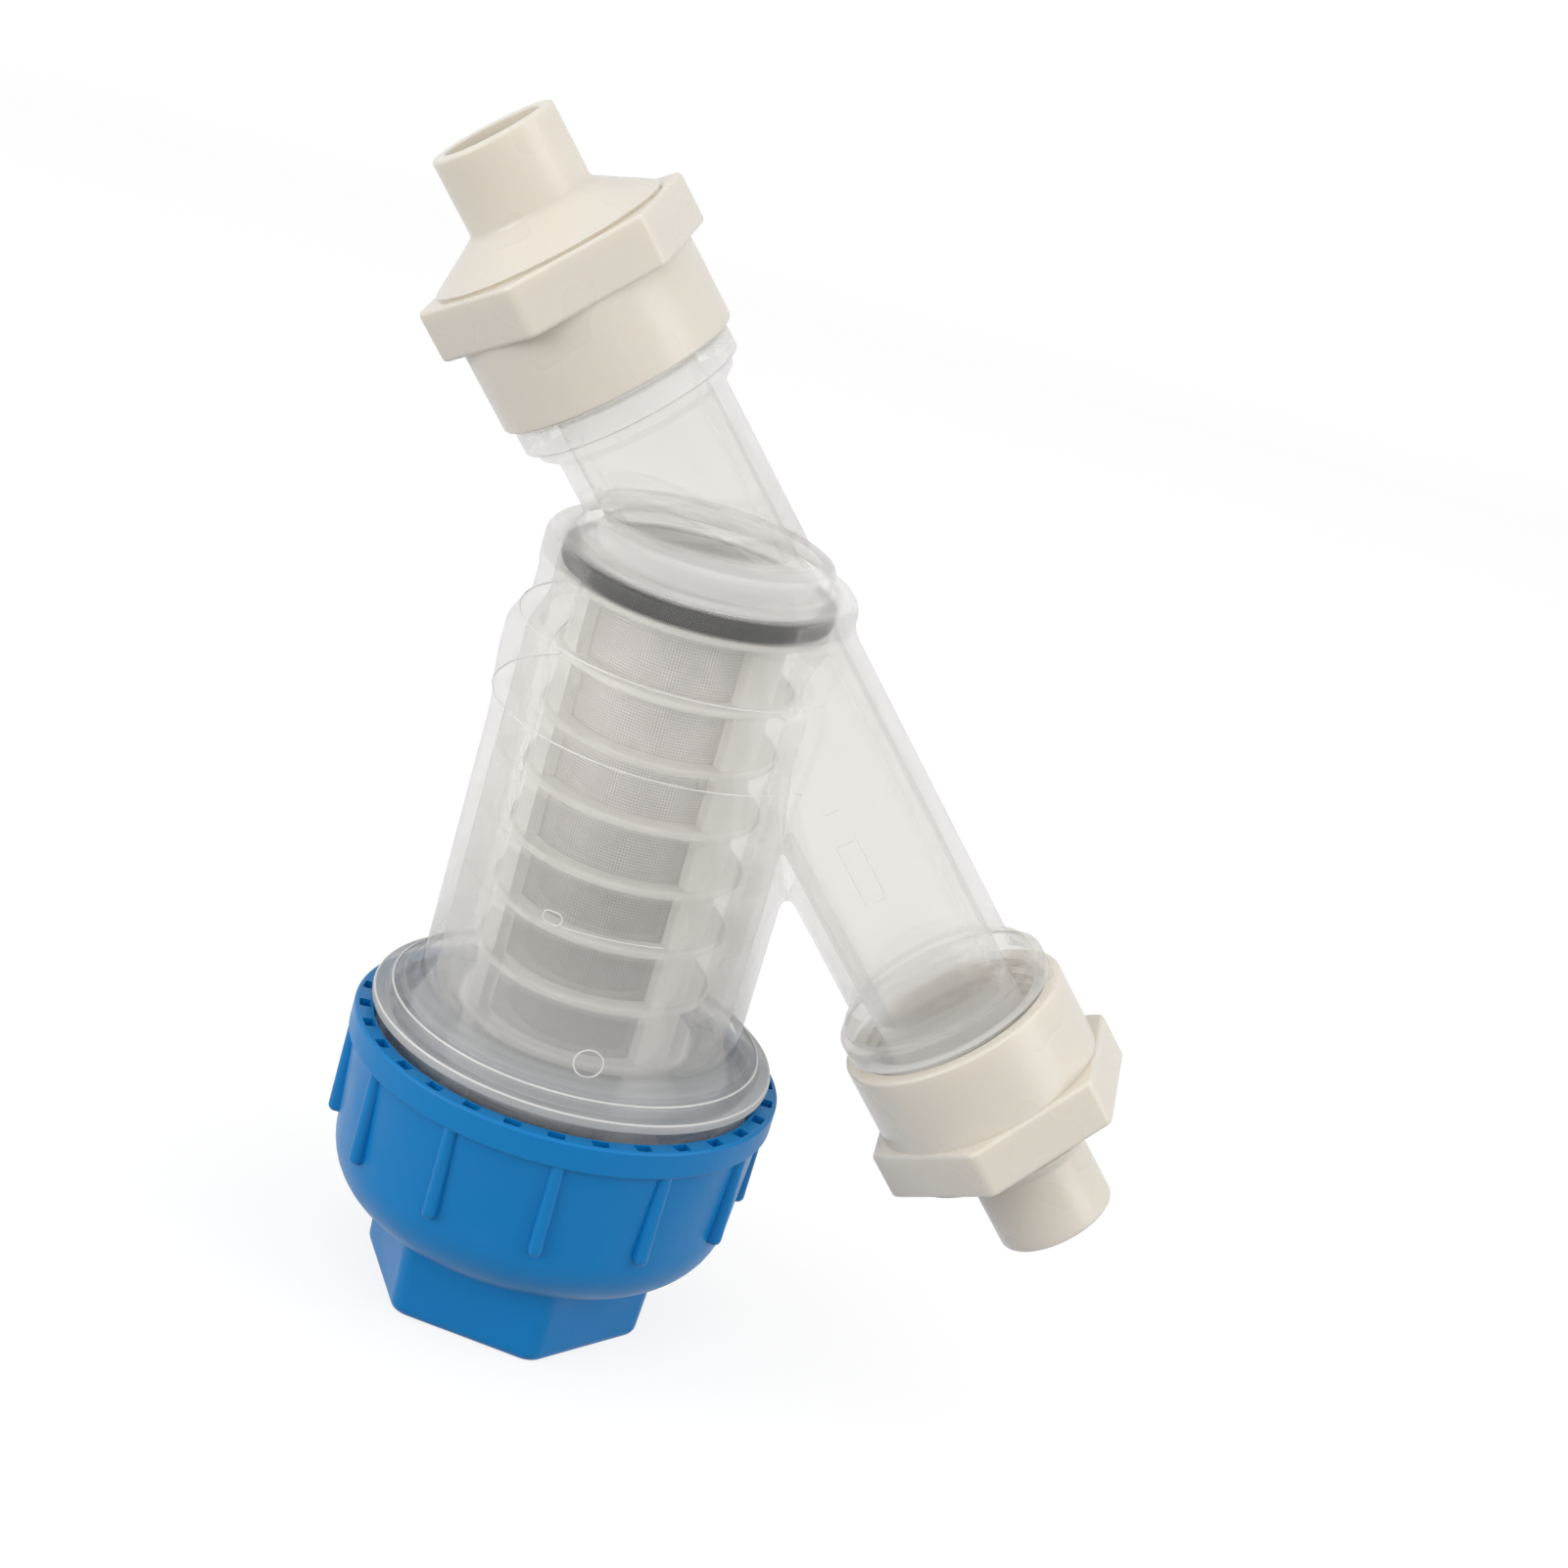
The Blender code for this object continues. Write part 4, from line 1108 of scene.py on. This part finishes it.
HUB_RADIUS = 25.2 * MM
HUB_DROP = 5.0 * MM
CAGE_FLANGE_RADIUS = 28.1 * MM
CAGE_FLANGE_DROP = 9.3 * MM
BARS_DROP = 10.9 * MM
FIRST_RING = 24.8 * MM
RINGS = 9
RING_THICKNESS = 1.8 * MM
FOOT_DROP = 143.7 * MM
FOOT_END = 150.7 * MM
LIP_THICKNESS = 1.6 * MM
BARS = 3


def ring_tops(k):
    """Drops of the upper faces of the cage's rings, as far as the foot leaves room."""
    tops = [FIRST_RING + index * k.ring_pitch for index in range(RINGS)]
    return [top for top in tops if top <= FOOT_DROP - 5.0 * MM]


def cage_shape(k):
    """Section of the cage before its windows are cut."""
    bore = k.sleeve_radius + FIT_GAP
    lip = k.sleeve_radius - 0.7 * MM
    bars = bore + k.bar_thickness
    corners = [
        (HUB_RADIUS, HUB_DROP, 0.3 * MM),
        (HUB_RADIUS, CAGE_FLANGE_DROP),
        (CAGE_FLANGE_RADIUS, CAGE_FLANGE_DROP, 0.4 * MM),
        (CAGE_FLANGE_RADIUS, BARS_DROP, 0.4 * MM),
        (bars, BARS_DROP, 0.5 * MM),
    ]
    for top in ring_tops(k):
        end = top + RING_THICKNESS
        corners += [(bars, top, 0.3 * MM), (k.ring_radius, top, 0.6 * MM),
                    (k.ring_radius, end, 0.6 * MM), (bars, end, 0.3 * MM)]
    corners += [
        (bars, FOOT_DROP, 0.3 * MM),
        (k.ring_radius, FOOT_DROP, 0.6 * MM),
        (k.ring_radius, FOOT_END, 0.5 * MM),
        (lip, FOOT_END),
        (lip, FOOT_END - LIP_THICKNESS),
        (bore, FOOT_END - LIP_THICKNESS),
        (bore, HUB_DROP + LIP_THICKNESS),
        (lip, HUB_DROP + LIP_THICKNESS),
        (lip, HUB_DROP),
    ]
    return rounded(drops(corners), 3)


def sector(low_radius, high_radius, top, end, start, span):
    """Part of a ring between two drops, closed all round."""
    steps = 24
    section = ((low_radius, top), (high_radius, top), (high_radius, end), (low_radius, end))
    rings = []
    for step in range(steps + 1):
        angle = start + span * step / steps
        rings.append([(radius * cos(angle), radius * sin(angle), -drop)
                      for radius, drop in section])
    return stacked(rings)


def cage_windows(k):
    """Openings between the bars, one row between each two rings."""
    tops = ring_tops(k)
    starts = [BARS_DROP] + [drop + RING_THICKNESS for drop in tops]
    low, high = k.sleeve_radius - 0.1 * MM, k.sleeve_radius + 3.6 * MM
    share = 2 * pi / BARS
    shapes = []
    for top, end in zip(starts, tops + [FOOT_DROP]):
        for bar in range(BARS):
            start = k.bar_turn + k.bar_span / 2 + bar * share
            shapes.append(sector(low, high, top, end, start, share - k.bar_span))
    return merged(shapes)


class STRAINER_OT_screen(Operator):
    """Build the milky cage and the woven sleeve inside it"""

    bl_idname = "strainer.screen"
    bl_label = "Screen"

    def execute(self, context):
        k = context.scene.strainer_screen
        cage = new_piece("cage_moulding", turned(cage_shape(k), SCREEN_SIDES), crossing())
        combine(cage, new_piece("windows", cage_windows(k), crossing()), "DIFFERENCE")
        dress(cage, "screen", "screen_cage", milky_plastic())
        low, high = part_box("screen_mesh")
        outline = ring_section(k.sleeve_radius - 0.4 * MM, k.sleeve_radius, low.z, high.z,
                               outer_rounding=0.1 * MM, spacing=3 * MM)
        sleeve = new_piece("woven_sleeve", turned(outline, SCREEN_SIDES))
        dress(sleeve, "screen", "screen_mesh", woven_steel())
        return {"FINISHED"}


# Seals and washers

SEAL_INNER = 25.5 * MM
SEAL_OUTER = 28.3 * MM
WASHER_INNER = 15.85 * MM
WASHER_OUTER = 20.65 * MM
WASHER_THICKNESS = 2.0 * MM


class STRAINER_OT_seals(Operator):
    """Build the cap's O-ring, the screen's seal ring and the two flat washers"""

    bl_idname = "strainer.seals"
    bl_label = "Seals and washers"

    def execute(self, context):
        s = context.scene.strainer_body
        black = rubber("black rubber", chosen_colour("rubber"), 0.5, 0.65)
        # Painted light: pale washers stand for the light that reaches the fittings' bores.
        washer_rubber_painted_pale = rubber("worn washer rubber", chosen_colour("washer"), 0.6, 0.75)
        grey = rubber("grey seal rubber", chosen_colour("grey_rubber"), 0.5, 0.65)
        low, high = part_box("cap_seal")
        section = (high.z - low.z) / 2
        middle = high.x - section
        ring = [(middle + section * cos(a), (low.z + high.z) / 2 + section * sin(a))
                for a in (2 * pi * k / 20 for k in range(20))]
        o_ring = new_piece("cap_o_ring", turned(ring, RING_SIDES))
        dress(o_ring, "cap", "cap_seal", black)
        low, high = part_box("screen_seal")
        outline = ring_section(SEAL_INNER, SEAL_OUTER, low.z, high.z, outer_rounding=1.1 * MM)
        seal = new_piece("screen_seal_ring", turned(outline, RING_SIDES))
        dress(seal, "screen", "screen_seal", grey)
        for side, name in ENDS:
            start = face_distance(side) + s.spigot_length + FIT_GAP
            outline = ring_section(WASHER_INNER, WASHER_OUTER, start, start + WASHER_THICKNESS,
                                   0.4 * MM, 0.4 * MM)
            washer = new_piece(name + "_flat_washer", turned(outline, BORE_SIDES), along_run(side))
            dress(washer, name + "_washer", name + "_washer", washer_rubber_painted_pale)
        return {"FINISHED"}


# End fittings

GROOVE_RADIUS = 23.9 * MM
GROOVE_DEPTH = 0.6 * MM
CONE_RADIUS = 24.6 * MM
SOCKET_DEPTH = 16.0 * MM
STOP_HEIGHT = 1.4 * MM
WASHER_ROOM = 2.6 * MM
FITTING_TURNS = (radians(15.7), radians(40.9))


def fitting_bore(f, s):
    """Radius of the skirt's thread bore, and how far in it ends."""
    bore = s.spigot_radius + s.pipe_thread + FIT_GAP
    return bore, s.spigot_length - f.skirt_gap + WASHER_ROOM


def fitting_outline(f, s):
    """Threaded skirt, groove, cone and socket tube, from the skirt's open end."""
    hexagon_middle = f.skirt_length + f.hexagon_height / 2
    groove = f.skirt_length + f.hexagon_height + GROOVE_DEPTH
    cone_top = groove + f.cone_height
    mouth = cone_top + f.tube_length
    stop = mouth - SOCKET_DEPTH
    thread_bore, inner_step = fitting_bore(f, s)
    return [
        (thread_bore + 0.5 * MM, 0, 0.2 * MM),
        (f.skirt_radius, 0, 0.7 * MM, 2 * MM),
        (f.skirt_radius, hexagon_middle),
        (GROOVE_RADIUS, hexagon_middle),
        (GROOVE_RADIUS, groove, 0.1 * MM),
        (CONE_RADIUS, groove, 0.3 * MM, 2 * MM),
        (f.tube_radius, cone_top, 1.6 * MM, 2 * MM),
        (f.tube_radius, mouth, 0.9 * MM),
        (f.socket_radius, mouth, 0.5 * MM, 2 * MM),
        (f.socket_radius, stop, 0.2 * MM),
        (f.socket_radius - STOP_HEIGHT, stop, 0.4 * MM),
        (f.socket_radius - STOP_HEIGHT, stop - 2.8 * MM, 0.6 * MM),
        (s.pipe_bore, inner_step, 0.3 * MM),
        (thread_bore, inner_step, 0.3 * MM, 0.3 * MM),
        (thread_bore, 0.6 * MM, 0.2 * MM),
    ]


def fitting_hexagon(f, turn_by):
    """Hexagon with softly broken edges."""
    corner = f.hexagon_flats / 2 / cos(pi / 6)
    low, high = f.skirt_length, f.skirt_length + f.hexagon_height
    edge = broken_edge(0.9 * MM, 5)
    levels = [(low + height, inset) for height, inset in edge]
    levels += [(high - height, inset) for height, inset in reversed(edge)]
    return stacked([hexagon_ring(corner - inset, 2.4 * MM, turn_by, height)
                    for height, inset in levels])


class STRAINER_OT_fittings(Operator):
    """Build the two ivory end fittings with their hexagons, sockets and inner threads"""

    bl_idname = "strainer.fittings"
    bl_label = "End fittings"

    def execute(self, context):
        f = context.scene.strainer_fitting
        s = context.scene.strainer_body
        ivory = ivory_plastic()
        bore, inner_step = fitting_bore(f, s)
        outline = rounded(fitting_outline(f, s))
        keep_open = turned(ring_section(
            0, (bore + GROOVE_RADIUS) / 2, f.skirt_length - 1 * MM,
            f.skirt_length + f.hexagon_height + GROOVE_DEPTH), BORE_SIDES)
        for (side, name), turn_by in zip(ENDS, FITTING_TURNS):
            start = face_distance(side) + f.skirt_gap
            place = along_run(side) @ Matrix.Translation((0, 0, start))
            thread = thread_on(bore, 0.8 * MM, inner_step - WASHER_ROOM, s.pipe_pitch,
                               s.pipe_thread, start=start, inside=True)
            shape = turned(outline, RING_SIDES, thread)
            fitting = new_piece(name + "_end_fitting", shape, place)
            hexagon = new_piece("hexagon", fitting_hexagon(f, turn_by), place)
            combine(hexagon, new_piece("open", keep_open, place), "DIFFERENCE")
            combine(fitting, hexagon, "UNION")
            dress(fitting, name + "_fitting", name + "_fitting", ivory)
        return {"FINISHED"}


# Stage

CAMERA_PLACE = (-0.0366, -0.6412, 0.3513)
CAMERA_RIGHT = (0.96256, -0.00246, 0.27106)
CAMERA_UP = (-0.25401, 0.34092, 0.90513)
CAMERA_BACK = (-0.09463, -0.94009, 0.32753)
CAMERA_LENS = 76.47
FLOOR_GLOW = 1.12
FLOOR_GLOW_SHARE = 0.72
WORLD_LIGHT = 0.88
WORLD_GLOW = 0.1


def white_background_share(add, strength):
    """Emission that only the camera, gloss and clear plastic see, less of it the last two."""
    path = add("LightPath").outputs
    bent = worked(add, "MAXIMUM", path["Is Glossy Ray"], path["Is Transmission Ray"])
    seen = worked(add, "MAXIMUM", path["Is Camera Ray"], worked(add, "MULTIPLY", bent, 0.9))
    return worked(add, "MULTIPLY", seen, strength)


def floor_material():
    """Dull pale floor that the camera sees mostly as even white."""
    base = chosen_colour("floor")
    material, shader, add = start_material("studio floor", base, 0.9)
    feed(shader, Specular_IOR_Level=0.0)
    cloud = add("TexNoise", Scale=3.0, Detail=2.0).outputs["Fac"]
    tone = ranged(add, cloud, 0.3, 0.7, 0.985, 1.0)
    feed(shader, Base_Color=mixed_colour(add, 1.0, (*base, 1), tone, "MULTIPLY"))
    glow = add("Emission", Color=(1, 1, 1, 1), Strength=white_background_share(add, FLOOR_GLOW))
    show(add("MixShader", i0=FLOOR_GLOW_SHARE, i1=shader.outputs[0], i2=glow.outputs[0]))
    return material


def backdrop():
    """Points and faces of a floor that bends up into a wall."""
    reach, bend, back, top = 3.0, 0.5, 1.6, 2.5
    rows = [(-reach, 0.0), (back - bend, 0.0)]
    for k in range(1, 13):
        angle = pi / 2 * k / 12
        rows.append((back - bend + bend * sin(angle), bend * (1 - cos(angle))))
    rows.append((back, top))
    points = [(x, y, z) for y, z in rows for x in (-reach, reach)]
    faces = [(2 * k, 2 * k + 1, 2 * k + 3, 2 * k + 2) for k in range(len(rows) - 1)]
    return points, faces


def softbox(name, place, aim, width, height, power):
    """Rectangular lamp that points at a spot."""
    data = bpy.data.lights.new(name, "AREA")
    data.shape = "RECTANGLE"
    data.size = width
    data.size_y = height
    data.energy = power
    lamp = bpy.data.objects.new(name, data)
    lamp.location = place
    lamp.rotation_euler = (Vector(aim) - Vector(place)).to_track_quat("-Z", "Y").to_euler()
    bpy.context.scene.collection.objects.link(lamp)


class STRAINER_OT_stage(Operator):
    """Set the pale floor, the soft lamps, the white surroundings and the camera"""

    bl_idname = "strainer.stage"
    bl_label = "Studio"

    def execute(self, context):
        scene = context.scene
        floor = new_piece("studio_floor", backdrop())
        floor.data.shade_smooth()
        floor.data.materials.append(floor_material())

        world = bpy.data.worlds.new("studio surroundings")
        scene.world = world
        world.use_nodes = True
        add = node_adder(world.node_tree)
        strength = worked(add, "ADD", white_background_share(add, WORLD_GLOW), WORLD_LIGHT)
        feed(world.node_tree.nodes["Background"], Color=(1, 1, 1, 1), Strength=strength)

        centre = (CAD_LOW + CAD_HIGH) / 2
        softbox("key_softbox", (-1.3, -0.75, 0.3), centre, 1.2, 1.1, 10.0)
        softbox("side_softbox", (1.2, -0.5, 0.6), centre, 0.7, 1.4, 4.5)
        softbox("top_softbox", (0.1, 0.3, 1.4), centre, 1.4, 1.1, 0.8)

        data = bpy.data.cameras.new("photo_camera")
        data.lens = CAMERA_LENS
        data.sensor_width = 36.0
        camera = bpy.data.objects.new("photo_camera", data)
        axes = Matrix((CAMERA_RIGHT, CAMERA_UP, CAMERA_BACK)).transposed().to_4x4()
        camera.matrix_world = Matrix.Translation(CAMERA_PLACE) @ axes
        scene.collection.objects.link(camera)
        scene.camera = camera
        scene.view_settings.view_transform = "Standard"
        return {"FINISHED"}


class STRAINER_PT_sidebar(Panel):
    """Sizes, colours and buttons of the strainer"""

    bl_label = "Y strainer"
    bl_idname = "STRAINER_PT_sidebar"
    bl_space_type = "VIEW_3D"
    bl_region_type = "UI"
    bl_category = "Strainer"

    def draw(self, context):
        for group in GROUPS:
            box = self.layout.box()
            settings = getattr(context.scene, group)
            for key in settings.__annotations__:
                box.prop(settings, key)
        for step in STEPS:
            self.layout.operator(step.bl_idname)


GROUPS = {
    "strainer_body": StrainerBodySizes,
    "strainer_cap": StrainerCapSizes,
    "strainer_screen": StrainerScreenSizes,
    "strainer_fitting": StrainerFittingSizes,
    "strainer_colours": StrainerColours,
}
STEPS = (
    STRAINER_OT_stage,
    STRAINER_OT_clear_body,
    STRAINER_OT_cap,
    STRAINER_OT_screen,
    STRAINER_OT_seals,
    STRAINER_OT_fittings,
)


def register():
    for name, group in GROUPS.items():
        bpy.utils.register_class(group)
        setattr(bpy.types.Scene, name, PointerProperty(type=group))
    for step in STEPS:
        bpy.utils.register_class(step)
    bpy.utils.register_class(STRAINER_PT_sidebar)


def unregister():
    bpy.utils.unregister_class(STRAINER_PT_sidebar)
    for step in reversed(STEPS):
        bpy.utils.unregister_class(step)
    for name, group in GROUPS.items():
        delattr(bpy.types.Scene, name)
        bpy.utils.unregister_class(group)


def main():
    register()
    bpy.ops.strainer.stage()
    bpy.ops.strainer.clear_body()
    bpy.ops.strainer.cap()
    bpy.ops.strainer.screen()
    bpy.ops.strainer.seals()
    bpy.ops.strainer.fittings()


if __name__ == "__main__":
    main()
